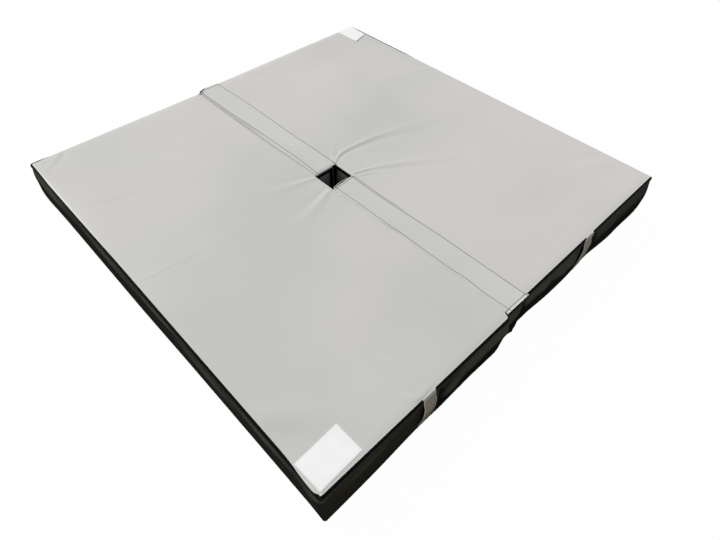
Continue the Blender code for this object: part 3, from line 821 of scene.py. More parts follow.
@dataclass(frozen=True)
class PatchCloth:
    """Blank white coated label cloth with a sewn border."""

    colour: Colour = (0.925, 0.935, 0.93)
    thread: Colour = (0.62, 0.63, 0.63)
    painted_edge_shadow: Colour = (0.055, 0.045, 0.036)
    border: float = 0.0030
    roughness: float = 0.38

    def make(self, s: Surface) -> None:
        """The patch's finish, from its nearest edge's distance and its mark of painted shadow
        along one edge.

        Args:
            s: The material in the making.
        """
        across, run = s.cloth()
        cloud = s.noise(16.0, 3.0, 0.5)
        s.ground(cloud.ease(0.35, 0.75), tuple(c * 0.965 for c in self.colour), self.colour)
        thread, groove = stitch_line(s.mark("side"), run + across, self.border)
        # Painted shade along the sewn border's groove.
        s.coat(groove * 0.25, self.thread)
        s.coat(thread * 0.6, self.thread)
        # Painted shadow: a dark band along one edge, where the patch lifts.
        s.coat(s.mark("painted_edge_shadow"), self.painted_edge_shadow)
        s.emboss(s.noise(420.0, 3.0), 0.00010, 0.4)
        s.emboss(1.0 - groove, 0.0005, 0.5)
        s.finish(self.roughness, 0.05)


@dataclass(frozen=True)
class PebbledBase:
    """Black floor cloth with small raised pebbles that grip."""

    colour: Colour = (0.012, 0.012, 0.012)
    roughness: float = 0.78

    def make(self, s: Surface) -> None:
        """The base panel's finish.

        Args:
            s: The material in the making.
        """
        pebble = 1.0 - s.cells(260.0).ease(0.1, 0.6)
        dust = s.noise(6.0, 4.0, 0.6)
        s.ground(dust.ease(0.45, 0.75) * 0.6, self.colour, (0.040, 0.039, 0.035))
        s.coat(pebble * 0.25, (0.030, 0.030, 0.029))
        s.emboss(pebble, 0.0006, 0.8)
        s.finish(self.roughness, 0.3)


@dataclass(frozen=True)
class FoamFinish:
    """Open-cell foam with pores of one size."""

    colour: Colour
    pore: float
    roughness: float = 0.95

    def make(self, s: Surface) -> None:
        """The foam's finish.

        Args:
            s: The material in the making.
        """
        pores = s.cells(1.0 / self.pore).ease(0.1, 0.6)
        fleck = s.noise(40.0, 3.0, 0.6)
        s.ground(pores * 0.5 + fleck * 0.4, tuple(c * 0.62 for c in self.colour), self.colour)
        s.emboss(pores, 0.0008, 0.8)
        s.finish(self.roughness, 0.2)


@dataclass(frozen=True)
class FastenerFinish:
    """Black hook or loop strip: small knots in rows, or a fuzz of loops."""

    hooks: bool
    colour: Colour = (0.010, 0.010, 0.011)
    knot: Colour = (0.050, 0.050, 0.052)
    pitch: float = 0.0020

    def make(self, s: Surface) -> None:
        """The strip's finish.

        Args:
            s: The material in the making.
        """
        if self.hooks:
            across, run = s.cloth()
            knots = s.wave(across, self.pitch) * s.wave(run, self.pitch)
        else:
            knots = s.noise(650.0, 4.0, 0.7)
        s.ground(knots.ease(0.25, 0.8), self.colour, self.knot)
        s.emboss(knots, 0.0008, 0.9)
        s.finish(0.88, 0.06)


@dataclass(frozen=True)
class ZipFinish:
    """Zip parts: dull black moulding, or worn metal."""

    metal: bool

    def make(self, s: Surface) -> None:
        """The zip's finish.

        Args:
            s: The material in the making.
        """
        wear = s.noise(420.0, 4.0, 0.6)
        s.emboss(wear, 0.00005, 0.4)
        if self.metal:
            s.ground(wear.ease(0.4, 0.7), (0.24, 0.24, 0.25), (0.46, 0.46, 0.47))
            s.finish(wear * 0.22 + 0.22, metallic=1.0)
        else:
            s.ground(wear, (0.012, 0.012, 0.012), (0.030, 0.030, 0.031))
            s.finish(wear * 0.15 + 0.33, 0.4)


class Finish(Enum):
    """Each finish of the mat, with the record's material slot that it belongs to."""

    COVER = ("cover_vinyl", "grey_vinyl", GreyVinyl())
    FLAP = ("flap_vinyl", "grey_vinyl", FlapVinyl())
    WALL = ("wall_vinyl", "black_vinyl", BlackVinyl())
    LINING = ("lining_vinyl", "black_vinyl", LiningVinyl())
    WALL_MESH = ("wall_mesh", "black_mesh",
                 BlackVinyl((0.0215, 0.0205, 0.0155), (0.085, 0.080, 0.059), 0.62, 1.0))
    OUTER_MESH = ("outer_wall_mesh", "black_mesh",
                  BlackVinyl((0.0260, 0.0258, 0.0218), (0.095, 0.094, 0.078), 0.58, 0.25))
    # The hole lining's pale dust colour paints the light on the middles of the hole's walls.
    HOLE = ("hole_lining_vinyl", "black_vinyl",
            LiningVinyl((0.006, 0.0065, 0.0065), (0.250, 0.256, 0.244)))
    RIGHT_WALL = ("right_wall_vinyl", "black_vinyl",
                  BlackVinyl((0.0190, 0.0192, 0.0160), (0.085, 0.085, 0.068)))
    BINDING = ("binding_tape", "black_tape", WovenTape())
    ZIP_TAPE = ("zip_tape_weave", "black_tape",
                WovenTape((0.010, 0.010, 0.011), (0.05, 0.05, 0.05), roughness=0.8,
                          pitch=0.0016, stitch_places=(0.0030, 0.0190)))
    SEAM_TAPE = ("seam_tape_weave", "black_tape",
                 WovenTape((0.0035, 0.0038, 0.0055), (0.04, 0.04, 0.045),
                           stitch_places=(0.0025, 0.0135)))
    STRAP = ("strap_vinyl_finish", "strap_vinyl", StrapVinyl())
    PATCH = ("patch_cloth", "white_patch", PatchCloth())
    BASE = ("base_pebble", "base_vinyl", PebbledBase())
    SOFT_FOAM = ("soft_foam_cells", "soft_foam", FoamFinish((0.78, 0.74, 0.56), 0.0030))
    FIRM_FOAM = ("firm_foam_cells", "firm_foam", FoamFinish((0.16, 0.17, 0.19), 0.0018))
    HOOK = ("hook_strip", "black_tape", FastenerFinish(True))
    LOOP = ("loop_strip", "black_tape", FastenerFinish(False))
    ZIP_PLASTIC = ("zip_moulding", "zip_plastic", ZipFinish(False))
    ZIP_METAL = ("zip_metal_finish", "zip_metal", ZipFinish(True))

    @property
    def slot(self) -> str:
        """The record's material slot."""
        return self.value[1]

    @property
    def material(self) -> Material:
        """The finish's material, made the first time that it is asked for.

        Returns:
            The material.
        """
        name, _, finish = self.value
        if name not in bpy.data.materials:
            finish.make(Surface(name))
        return bpy.data.materials[name]


# Plan of one half


@dataclass(frozen=True)
class HalfPlan:
    """One half of the mat and the soft give of its corners."""

    name: str
    side: int
    middle: float
    notch: float
    sizes: MatSizes = SIZES
    corner_give: float = 0.0030
    corner_reach: float = 0.0500
    tip_give: float = 0.0095
    tip_place: float = 0.0190
    tip_reach: float = 0.0110
    strip_recess: float = 0.0170
    front_draw: float = 0.0
    front_foot: Knots = ((0.0, 0.0), (1.0, 0.0))
    side_foot: Knots = ((0.0, 0.0), (1.0, 0.0))
    back_draw_at_seam: float = 0.0
    back_draw_at_side: float = 0.0
    foot_height: float = 0.1900
    foot_depth: float = 0.5000
    back_depth: float = 0.9000
    back_heights: tuple[float, float] = (0.16, 0.236)
    recess_start: float = 0.12
    recess_end: float = 0.01
    diagonal: float = 0.7071

    @property
    def body(self) -> str:
        """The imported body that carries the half."""
        return self.name + "_half"

    def x(self, u: Array | float) -> Array | float:
        """World X of a distance u from the seam face."""
        return self.side * (self.sizes.seam_gap / 2 + u)

    def y(self, v: Array | float) -> Array | float:
        """World Y of a distance v from the half's mid-length."""
        return self.middle + v

    def place(self, u: Array, v: Array, z: Array) -> Array:
        """World points of plan places, after the give of the sewn and padded shape.

        Towards the floor the front and outer faces stand out by curves along them, and each
        outer corner draws in along its diagonal by a bell curve of the distance to it. The back
        face's upper edge is drawn in by its own amount at either end, and beside the seam the
        left half's front steps back. On the left half, the cover's edge beside the near tip
        draws in from the binding's foot upward.

        Args:
            u: Distances from the seam face.
            v: Distances from the half's mid-length.
            z: Heights.

        Returns:
            The points, with a last axis of 3.
        """
        s = self.sizes
        u, v, z = (a.copy() for a in np.broadcast_arrays(
            *(np.asarray(a, dtype=float) for a in (u, v, z))))
        end_v = s.length / 2
        low = fade(z, 0.0, self.foot_height)
        outward = smooth(u, s.half_width - self.foot_depth, s.half_width)
        shift_u = outward * low * along(v, self.side_foot)
        ahead = smooth(-v, end_v - self.foot_depth, end_v)
        shift_v = ahead * (self.front_draw - low * along(u, self.front_foot))
        behind = smooth(v, end_v - self.back_depth, end_v) * smooth(z, *self.back_heights)
        draw = self.back_draw_at_seam + (self.back_draw_at_side
                                         - self.back_draw_at_seam) * u / s.half_width
        shift_v -= behind * draw
        if self.side < 0:
            shift_v += (self.strip_recess
                        * smooth(-v, end_v - self.recess_start, end_v - self.recess_end)
                        * fade(u, self.notch - 0.006 + 0.010 * low,
                               self.notch + 0.012 + 0.014 * low))
        for end in (-1, 1):
            away = np.hypot(u - s.half_width, v - end * end_v)
            pull = self.corner_give * low * hump(away, 0.0, self.corner_reach) * self.diagonal
            shift_u -= pull
            shift_v -= end * pull
        if self.side < 0:
            rise = smooth(z, s.wall_top - 0.004, s.binding_top)
            edge = smooth(u, s.half_width - 0.06, s.half_width)
            shift_u -= self.tip_give * rise * edge * hump(v + end_v, self.tip_place,
                                                          self.tip_reach)
        return np.stack([self.x(u + shift_u), self.y(v + shift_v), z], axis=-1)


LEFT = HalfPlan(
    "left", -1, -SIZES.setback / 2, SIZES.left_notch, front_draw=0.0010,
    front_foot=((0.0, 0.0085), (0.02, -0.0010), (0.07, -0.0060), (0.15, -0.0055), (0.19, -0.0005),
                (0.39, -0.0030), (0.55, 0.0005), (0.65, -0.0020), (0.80, 0.0015),
                (0.90, 0.0050), (1.00, 0.0070), (1.16, 0.0090), (1.2132, 0.0110)),
    side_foot=((-1.2192, 0.0040), (-1.13, -0.0010), (-0.80, 0.0), (-0.30, 0.0020),
               (0.20, 0.0060), (0.90, 0.0060), (1.08, 0.0075), (1.2192, 0.0120)),
    back_draw_at_seam=0.0150, back_draw_at_side=-0.0070)
RIGHT = HalfPlan(
    "right", 1, SIZES.setback / 2, SIZES.right_notch, front_draw=0.0050,
    front_foot=((0.0, -0.0090), (0.13, -0.0090), (0.20, -0.0050), (0.30, 0.0), (0.42, 0.0010),
                (0.58, -0.0040), (0.66, -0.0080), (0.82, 0.0010), (0.91, 0.0050), (1.0, 0.0030),
                (1.2132, 0.0070)),
    back_draw_at_seam=0.0090, back_draw_at_side=0.0090)


@dataclass(frozen=True)
class Perimeter:
    """A half's outer face in plan, as a function of the distance walked along it.

    The walk starts at the notch's front mouth, goes along the seam face to the front, along the
    front, the outer face and the back, and ends at the notch's back mouth. Corners are arcs.
    """

    plan: HalfPlan

    @cached_property
    def runs(self) -> list[tuple[float, Array, Array, float]]:
        """The perimeter's nine runs, straight edges and corner arcs by turns.

        Returns:
            Each run's length, start or arc centre, start normal and radius, 0 if straight.
        """
        s = self.plan.sizes
        end, mouth, width = s.length / 2, s.notch_length / 2, s.half_width
        r, big = s.seam_corner, s.outer_corner
        west, south = np.array([-1.0, 0.0]), np.array([0.0, -1.0])
        quarter = math.pi / 2
        return [
            (end - mouth - r, np.array([0.0, -mouth]), west, 0.0),
            (quarter * r, np.array([r, r - end]), west, r),
            (width - r - big, np.array([r, -end]), south, 0.0),
            (quarter * big, np.array([width - big, big - end]), south, big),
            (s.length - 2 * big, np.array([width, big - end]), -west, 0.0),
            (quarter * big, np.array([width - big, end - big]), -west, big),
            (width - r - big, np.array([width - big, end]), -south, 0.0),
            (quarter * r, np.array([r, end - r]), -south, r),
            (end - mouth - r, np.array([0.0, end - r]), west, 0.0),
        ]

    @cached_property
    def starts(self) -> Array:
        """Distance at which each run starts, and the whole length last."""
        return np.concatenate([[0.0], np.cumsum([run[0] for run in self.runs])])

    def at(self, distance: Array) -> tuple[Array, Array]:
        """Plan places and outward normals at distances along the walk.

        Args:
            distance: Distances in metres.

        Returns:
            Two arrays with a last axis of 2, in (u, v).
        """
        distance = np.asarray(distance, dtype=float)
        place = np.zeros(distance.shape + (2,))
        normal = np.zeros(distance.shape + (2,))
        which = np.clip(np.searchsorted(self.starts, distance, side="right") - 1, 0,
                        len(self.runs) - 1)
        for k, (_, origin, facing, radius) in enumerate(self.runs):
            chosen = which == k
            gone = distance[chosen] - self.starts[k]
            turned = np.array([-facing[1], facing[0]])
            if radius:
                angle = (gone / radius)[:, None]
                normal[chosen] = facing * np.cos(angle) + turned * np.sin(angle)
                place[chosen] = origin + radius * normal[chosen]
            else:
                normal[chosen] = facing
                place[chosen] = origin + gone[:, None] * turned
        return place, normal

    def front(self, u: float) -> float:
        """Distance of a place on the front face."""
        return float(self.starts[2] + u - self.plan.sizes.seam_corner)

    def back(self, u: float) -> float:
        """Distance of a place on the back face."""
        s = self.plan.sizes
        return float(self.starts[6] + s.half_width - s.outer_corner - u)


# Cloth that Blender's simulation ruffles


@dataclass(frozen=True)
class RuffledCloth:
    """Offsets, square to a flat sheet held at its borders, that a cloth simulation gives.

    The sheet starts a little too large for its frame and is pressed from behind, as a cover by
    its foam, so that it billows and wrinkles. Offsets are capped, and read back by linear
    interpolation between grid points.
    """

    name: str
    width: float
    height: float
    spacing: float
    growth: float
    pressure: float
    cap: float
    held_rows: tuple[float, ...] = ()
    frames: int = 20
    stiffness: float = 0.4

    @cached_property
    def offsets(self) -> Array:
        """The sheet's offsets on its grid, out of the cloth simulation.

        Returns:
            The offsets in metres.
        """
        along_places = steps(0.0, self.width, self.spacing)
        across_places = steps(0.0, self.height, self.spacing)
        rows, columns = len(along_places), len(across_places)
        x, y = lattice(along_places, across_places)
        points = np.stack([x, y, np.zeros_like(x)], axis=-1).reshape(-1, 3)
        mesh = bpy.data.meshes.new(self.name)
        mesh.from_pydata(points.tolist(), [], grid_faces(rows, columns).tolist())
        item = new_object(self.name, mesh)
        held = [grid_border(rows, columns)]
        index = np.arange(rows * columns).reshape(rows, columns)
        held += [index[:, int(np.abs(across_places - row).argmin())] for row in self.held_rows]
        group = item.vertex_groups.new(name="held")
        group.add(np.unique(np.concatenate(held)).tolist(), 1.0, "REPLACE")
        cloth = item.modifiers.new("cloth", "CLOTH")
        settings = cloth.settings
        settings.vertex_group_mass = "held"
        settings.shrink_min = -self.growth
        settings.use_pressure = True
        settings.uniform_pressure_force = self.pressure
        settings.bending_stiffness = self.stiffness
        settings.effector_weights.gravity = 0.0
        cloth.point_cache.frame_start = 1
        cloth.point_cache.frame_end = self.frames
        for frame in range(1, self.frames + 1):
            bpy.context.scene.frame_set(frame)
        graph = bpy.context.evaluated_depsgraph_get()
        ruffled = np.empty(rows * columns * 3)
        item.evaluated_get(graph).data.vertices.foreach_get("co", ruffled)
        bpy.data.objects.remove(item, do_unlink=True)
        bpy.data.meshes.remove(mesh)
        bpy.context.scene.frame_set(1)
        out = ruffled.reshape(rows, columns, 3)[..., 2]
        LOG.info("%s: offsets from %.1f to %.1f mm", self.name, out.min() * 1e3, out.max() * 1e3)
        return np.clip(out, -self.cap, self.cap)

    def at(self, run: Array, across: Array) -> Array:
        """Offsets at places on the sheet, interpolated between its four nearest points.

        Args:
            run: Places along the sheet.
            across: Places across it.

        Returns:
            The offsets.
        """
        table = self.offsets
        r = np.clip(np.asarray(run) / self.width, 0.0, 1.0) * (table.shape[0] - 1)
        c = np.clip(np.asarray(across) / self.height, 0.0, 1.0) * (table.shape[1] - 1)
        r, c = np.broadcast_arrays(r, c)
        i = np.clip(r.astype(int), 0, table.shape[0] - 2)
        j = np.clip(c.astype(int), 0, table.shape[1] - 2)
        a, b = r - i, c - j
        return ((table[i, j] * (1 - a) + table[i + 1, j] * a) * (1 - b)
                + (table[i, j + 1] * (1 - a) + table[i + 1, j + 1] * a) * b)


# Top covers


@dataclass(frozen=True)
class Crease:
    """A raised fold of the cover along a path, with a shallow valley on one side of it."""

    path: Knots
    height: float
    start_width: float
    end_width: float
    valley: float = 0.6
    end_fade: float = 1.0
    samples: int = 48
    rounds: int = 14
    valley_place: float = 1.7

    @cached_property
    def line(self) -> Array:
        """The path resampled evenly and rounded by averaging neighbours.

        Returns:
            Places along it, one to a row.
        """
        knots = np.array(self.path)
        gone = np.concatenate([[0.0], np.cumsum(np.linalg.norm(np.diff(knots, axis=0), axis=1))])
        places = np.linspace(0.0, gone[-1], self.samples)
        line = np.column_stack([np.interp(places, gone, knots[:, k]) for k in (0, 1)])
        for _ in range(self.rounds):
            line[1:-1] = (line[:-2] + 2 * line[1:-1] + line[2:]) / 4
        return line

    def lift(self, x: Array, y: Array) -> Array:
        """Height added at world places.

        Across the fold it is a bell curve less another one beside it, and along it the fold
        rises quickly and fades to its end.

        Args:
            x: World X.
            y: World Y.

        Returns:
            The heights.
        """
        place = np.stack([x, y], axis=-1)
        best = np.full(x.shape, 1e9)
        side = np.zeros(x.shape)
        gone = np.zeros(x.shape)
        count = len(self.line) - 1
        for k, (start, end) in enumerate(zip(self.line[:-1], self.line[1:])):
            step = end - start
            t = np.clip((place - start) @ step / (step @ step), 0.0, 1.0)
            gap = place - (start + t[..., None] * step)
            away = np.linalg.norm(gap, axis=-1)
            nearer = away < best
            best = np.where(nearer, away, best)
            turn = step[0] * gap[..., 1] - step[1] * gap[..., 0]
            side = np.where(nearer, np.sign(turn), side)
            gone = np.where(nearer, (k + t) / count, gone)
        width = self.start_width + (self.end_width - self.start_width) * gone
        signed = best * side
        shape = hump(signed, 0.0, width) - self.valley * hump(
            signed, -self.valley_place * width, width)
        strength = smooth(gone, -0.03, 0.02) * (1.0 - smooth(gone, 0.15, 1.0) * self.end_fade)
        return self.height * shape * strength


CREASES = (
    Crease(((0.024, 0.070), (0.036, 0.090), (0.060, 0.112), (0.106, 0.122), (0.165, 0.118),
            (0.224, 0.113), (0.322, 0.102), (0.408, 0.080), (0.516, 0.041), (0.738, -0.032)),
           0.0042, 0.0060, 0.0360, 0.70, 0.8),
    Crease(((0.026, 0.078), (0.043, 0.112), (0.089, 0.169), (0.181, 0.271)), 0.0024, 0.0070,
           0.0200, 0.50),
    Crease(((0.034, 0.050), (0.064, 0.090), (0.100, 0.121)), 0.0022, 0.0055, 0.0080, 0.50),
    Crease(((0.030, -0.058), (0.070, -0.070), (0.107, -0.085), (0.165, -0.099)), 0.0020, 0.0060,
           0.0080, 0.60),
    Crease(((0.026, -0.066), (0.064, -0.078), (0.109, -0.084), (0.220, -0.140),
            (0.341, -0.214), (0.655, -0.420)), 0.0034, 0.0080, 0.0330, 0.9),
    Crease(((0.028, -0.086), (0.080, -0.108), (0.150, -0.140), (0.260, -0.205)), 0.0032,
           0.0080, 0.0220, 0.6),
    Crease(((-0.142, 0.050), (-0.250, 0.080), (-0.475, 0.140)), 0.0032, 0.0120, 0.0380, 0.6),
    Crease(((-0.144, -0.072), (-0.300, -0.128), (-0.542, -0.202)), 0.0034, 0.0140, 0.0420, 0.6),
    Crease(((-1.176, 0.046), (-0.967, 0.022), (-0.739, -0.004), (-0.600, -0.018)), 0.0007,
           0.0080, 0.0130, 0.7, 0.8),
    Crease(((-1.134, 0.682), (-0.929, 0.628), (-0.700, 0.560)), 0.0010, 0.0140, 0.0220, 0.7),
    Crease(((-1.029, 1.195), (-1.060, 1.155), (-1.099, 1.119), (-1.163, 1.077)), -0.0042,
           0.0100, 0.0130, 0.7, 0.7),
    Crease(((-1.130, 1.176), (-1.150, 1.150), (-1.178, 1.118)), -0.0026, 0.0090, 0.0110, 0.6, 0.7),
    Crease(((1.195, 0.395), (1.130, 0.445), (1.064, 0.495)), 0.0040, 0.0100, 0.0170, 0.7),
    Crease(((1.195, -0.110), (1.176, -0.030), (1.148, 0.039)), 0.0030, 0.0100, 0.0160, 0.6),
    Crease(((-0.700, -1.214), (-0.715, -1.180), (-0.752, -1.138)), 0.0060, 0.0080, 0.0100, 0.6),
    Crease(((-0.707, -1.214), (-0.640, -1.206), (-0.591, -1.202)), 0.0045, 0.0070, 0.0080, 0.4),
    Crease(((-1.174, -0.850), (-1.060, -0.960), (-0.918, -1.184)), 0.0045, 0.0500, 0.0600, 0.8),
    Crease(((1.150, -0.980), (1.000, -0.900), (0.760, -0.860)), 0.0020, 0.0350, 0.0500, 0.6),
    Crease(((0.300, 1.180), (0.380, 0.960), (0.420, 0.700)), 0.0024, 0.0300, 0.0500, 0.6),
)


@dataclass(frozen=True)
class TopRelief:
    """Height of one half's cover over its flat level: crown, creases and ruffle."""

    plan: HalfPlan
    ruffle: RuffledCloth
    creases: tuple[Crease, ...] = CREASES
    ruffle_share: float = 0.55
    border: float = 0.0180
    rim_clear: float = 0.0085
    strip: float = 0.1480
    hollow: float = 0.0090

    def crown(self, u: Array, v: Array) -> Array:
        """The smooth swell inside the flat border, a smooth step in from every edge.

        Args:
            u: Distances from the seam face.
            v: Distances from the half's mid-length.

        Returns:
            The swell's heights.
        """
        s = self.plan.sizes
        across = smooth(np.minimum(u, s.half_width - u), s.crown_border,
                        s.crown_border + s.crown_ramp)
        run = smooth(s.length / 2 - np.abs(v), s.crown_border, s.crown_border + s.crown_ramp)
        return s.crown * across * run

    def at(self, u: Array, v: Array) -> Array:
        """Height over the flat top at plan places.

        Creases and ruffle fade out at the rim, and under the flaps on the left half.

        Args:
            u: Distances from the seam face.
            v: Distances from the half's mid-length.

        Returns:
            The heights.
        """
        s = self.plan.sizes
        u, v = np.broadcast_arrays(np.asarray(u, float), np.asarray(v, float))
        x, y = self.plan.x(u), self.plan.y(v)
        folds = sum(crease.lift(x, y) for crease in self.creases)
        soft = self.ruffle.at(u, v + s.length / 2) * self.ruffle_share
        return self.crown(u, v) + (folds + soft) * self.freedom(u, v)

    def freedom(self, u: Array, v: Array) -> Array:
        """How far the cover is free to crease, from 0 at its edges to 1 away from them.

        Args:
            u: Distances from the seam face.
            v: Distances from the half's mid-length.

        Returns:
            The share at each place.
        """
        s = self.plan.sizes
        outer = np.minimum(s.half_width - u, s.length / 2 - np.abs(v))
        past = np.hypot(np.maximum(u - self.plan.notch, 0.0),
                        np.maximum(np.abs(v) - s.notch_length / 2, 0.0))
        free = smooth(outer, self.rim_clear, self.rim_clear + self.border)
        if self.plan.side < 0:
            return free * smooth(u, self.strip - 0.016, self.strip)
        return free * smooth(np.minimum(u, past), 0.001, self.border)

    def foam(self, u: Array, v: Array) -> Array:
        """Height of the foam's crown, which stays below the cover's valleys."""
        return self.crown(u, v) - self.hollow * self.freedom(u, v)

    def height(self, u: Array, v: Array) -> Array:
        """World height of the cover's upper face at plan places inside its rim."""
        return self.plan.sizes.height + self.at(u, v)


class PlanSheet:
    """Grid over a half's plan whose outer lines are rings of a rounded rim.

    A ring lies at a share of the rim's radius inside the edge. Drawing the plan in moves each
    ring by the rest of that share, so that inner and outer rims stay round one centre.
    """

    def __init__(self, plan: HalfPlan, rim: float, fine: float, coarse: float) -> None:
        """Lay the grid's lines.

        Args:
            plan: The half.
            rim: Radius of the rim.
            fine: Spacing of lines beside the notch.
            coarse: Widest spacing of lines.
        """
        s = plan.sizes
        self.plan = plan
        self.rim = rim
        turns = np.linspace(0.0, math.pi / 2, 5)
        rings = rim * (1.0 - np.cos(turns))
        width, end, mouth = s.half_width, s.length / 2, s.notch_length / 2
        inner = np.array([s.seam_corner, 0.0165, 0.0200])
        self.u = self.lay([rings, [s.seam_corner], plan.notch + rings, width - inner,
                           [width - s.outer_corner], width - rings], plan.notch, fine, coarse)
        positive = self.lay([[0.0], mouth + rings, end - inner, [end - s.outer_corner],
                             end - rings], mouth, fine, coarse)
        self.v = np.concatenate([-positive[:0:-1], positive])
        u_mid = (self.u[:-1] + self.u[1:])[:, None] / 2
        v_mid = (self.v[:-1] + self.v[1:])[None, :] / 2
        self.kept = ~((np.abs(v_mid) < mouth) & (u_mid < plan.notch))

    @staticmethod
    def lay(groups: list[Array | list[float]], focus: float, fine: float,
            coarse: float) -> Array:
        """Sorted lines with more laid between them, closer beside one place.

        Args:
            groups: Lines that the grid has to have.
            focus: Place beside which the rest are close.
            fine: Spacing there.
            coarse: Widest spacing.

        Returns:
            The places of all lines.
        """
        fixed = np.unique(np.round(np.concatenate([np.asarray(g, float) for g in groups]), 7))
        fixed = fixed[np.concatenate([[True], np.diff(fixed) > 2e-5])]
        made = [fixed[:1]]
        for low, high in zip(fixed[:-1], fixed[1:]):
            place = low
            added = []
            while place < high - 1e-9:
                gap = min(abs(place - focus), abs(high - focus) if place > focus else 9.0)
                place += min(coarse, max(fine, fine + 0.05 * gap))
                added.append(place)
            added = np.array(added)
            made.append(low + (added - low) * (high - low) / (added[-1] - low))
        return np.concatenate(made)

    def from_outside(self) -> Array:
        """Distance of each grid point from the half's outer, front and back faces."""
        s = self.plan.sizes
        return np.minimum((s.half_width - self.u)[:, None],
                          (s.length / 2 - np.abs(self.v))[None, :])

    def share(self) -> Array:
        """How far into the rim each grid point lies.

        Returns:
            0 at the half's edge to 1 past the rim.
        """
        s = self.plan.sizes
        across = np.minimum(self.u, s.half_width - self.u)[:, None]
        run = (s.length / 2 - np.abs(self.v))[None, :]
        past_end = np.maximum(self.u - self.plan.notch, 0.0)[:, None]
        past_side = np.maximum(np.abs(self.v) - s.notch_length / 2, 0.0)[None, :]
        inside = np.minimum(np.minimum(across, run), np.hypot(past_end, past_side))
        return np.clip(inside / self.rim, 0.0, 1.0)

    def weight(self, distance: Array) -> Array:
        """How much of an inset a line takes, at a distance inside an edge."""
        return np.where(distance > -1e-5, np.clip(1.0 - distance / self.rim, 0.0, 1.0), 0.0)

    def outline(self, inset: float) -> tuple[Array, Array]:
        """Plan places of every grid point, drawn in by an inset, with round corners.

        Args:
            inset: How far the outer lines are drawn in.

        Returns:
            Both plan places of each point.
        """
        s = self.plan.sizes
        u = self.u + inset * (self.weight(self.u) - self.weight(s.half_width - self.u)
                              + self.weight(self.u - self.plan.notch))
        v = self.v + inset * (self.weight(self.v + s.length / 2)
                              - self.weight(s.length / 2 - self.v)
                              + np.sign(self.v) * self.weight(np.abs(self.v)
                                                              - s.notch_length / 2))
        return round_corners(*lattice(u, v), ((0.0, 1.0, s.seam_corner),
                                              (s.half_width, -1.0, s.outer_corner)),
                             ((-s.length / 2, 1.0), (s.length / 2, -1.0)))

    def rise(self, inset: float) -> Array:
        """Height of the rim's arc at an inset: the radius times the arc's cosine."""
        return (self.rim - inset) * np.sqrt(1.0 - (1.0 - self.share()) ** 2)

    def solid(self, layers: list[Array], marks: dict[str, list[Array]] | None = None
              ) -> Sewn:
        """A closed shell: the first and last layers are filled, the rest are rings.

        Args:
            layers: Grids of world points, from one face to the other.
            marks: Values by name, one grid for each layer.

        Returns:
            The shell, without the points that no face uses.
        """
        rows, columns = len(self.u), len(self.v)
        size = rows * columns
        index = np.arange(size).reshape(rows, columns)
        a, b = index[:-1, :-1], index[1:, :-1]
        c, d = index[1:, 1:], index[:-1, 1:]
        kept = self.kept
        top = np.stack([a[kept], b[kept], c[kept], d[kept]], axis=-1)
        last = (len(layers) - 1) * size
        quads = [top, top[:, ::-1] + last]
        padded = np.pad(kept, 1)
        beside = ((padded[:-2, 1:-1], d, a), (padded[2:, 1:-1], b, c),
                  (padded[1:-1, :-2], a, b), (padded[1:-1, 2:], c, d))
        for neighbour, start, end in beside:
            edge = kept & ~neighbour
            p, q = start[edge], end[edge]
            for k in range(len(layers) - 1):
                low, high = k * size, (k + 1) * size
                quads.append(np.stack([q + low, p + low, p + high, q + high], axis=-1))
        faces = np.concatenate(quads)
        used, compact = np.unique(faces, return_inverse=True)
        points = np.concatenate([layer.reshape(size, 3) for layer in layers])[used]
        made = Sewn(points, compact.reshape(faces.shape).tolist())
        for name, grids in (marks or {}).items():
            made.marks[name] = np.concatenate([grid.reshape(size) for grid in grids])[used]
        return made


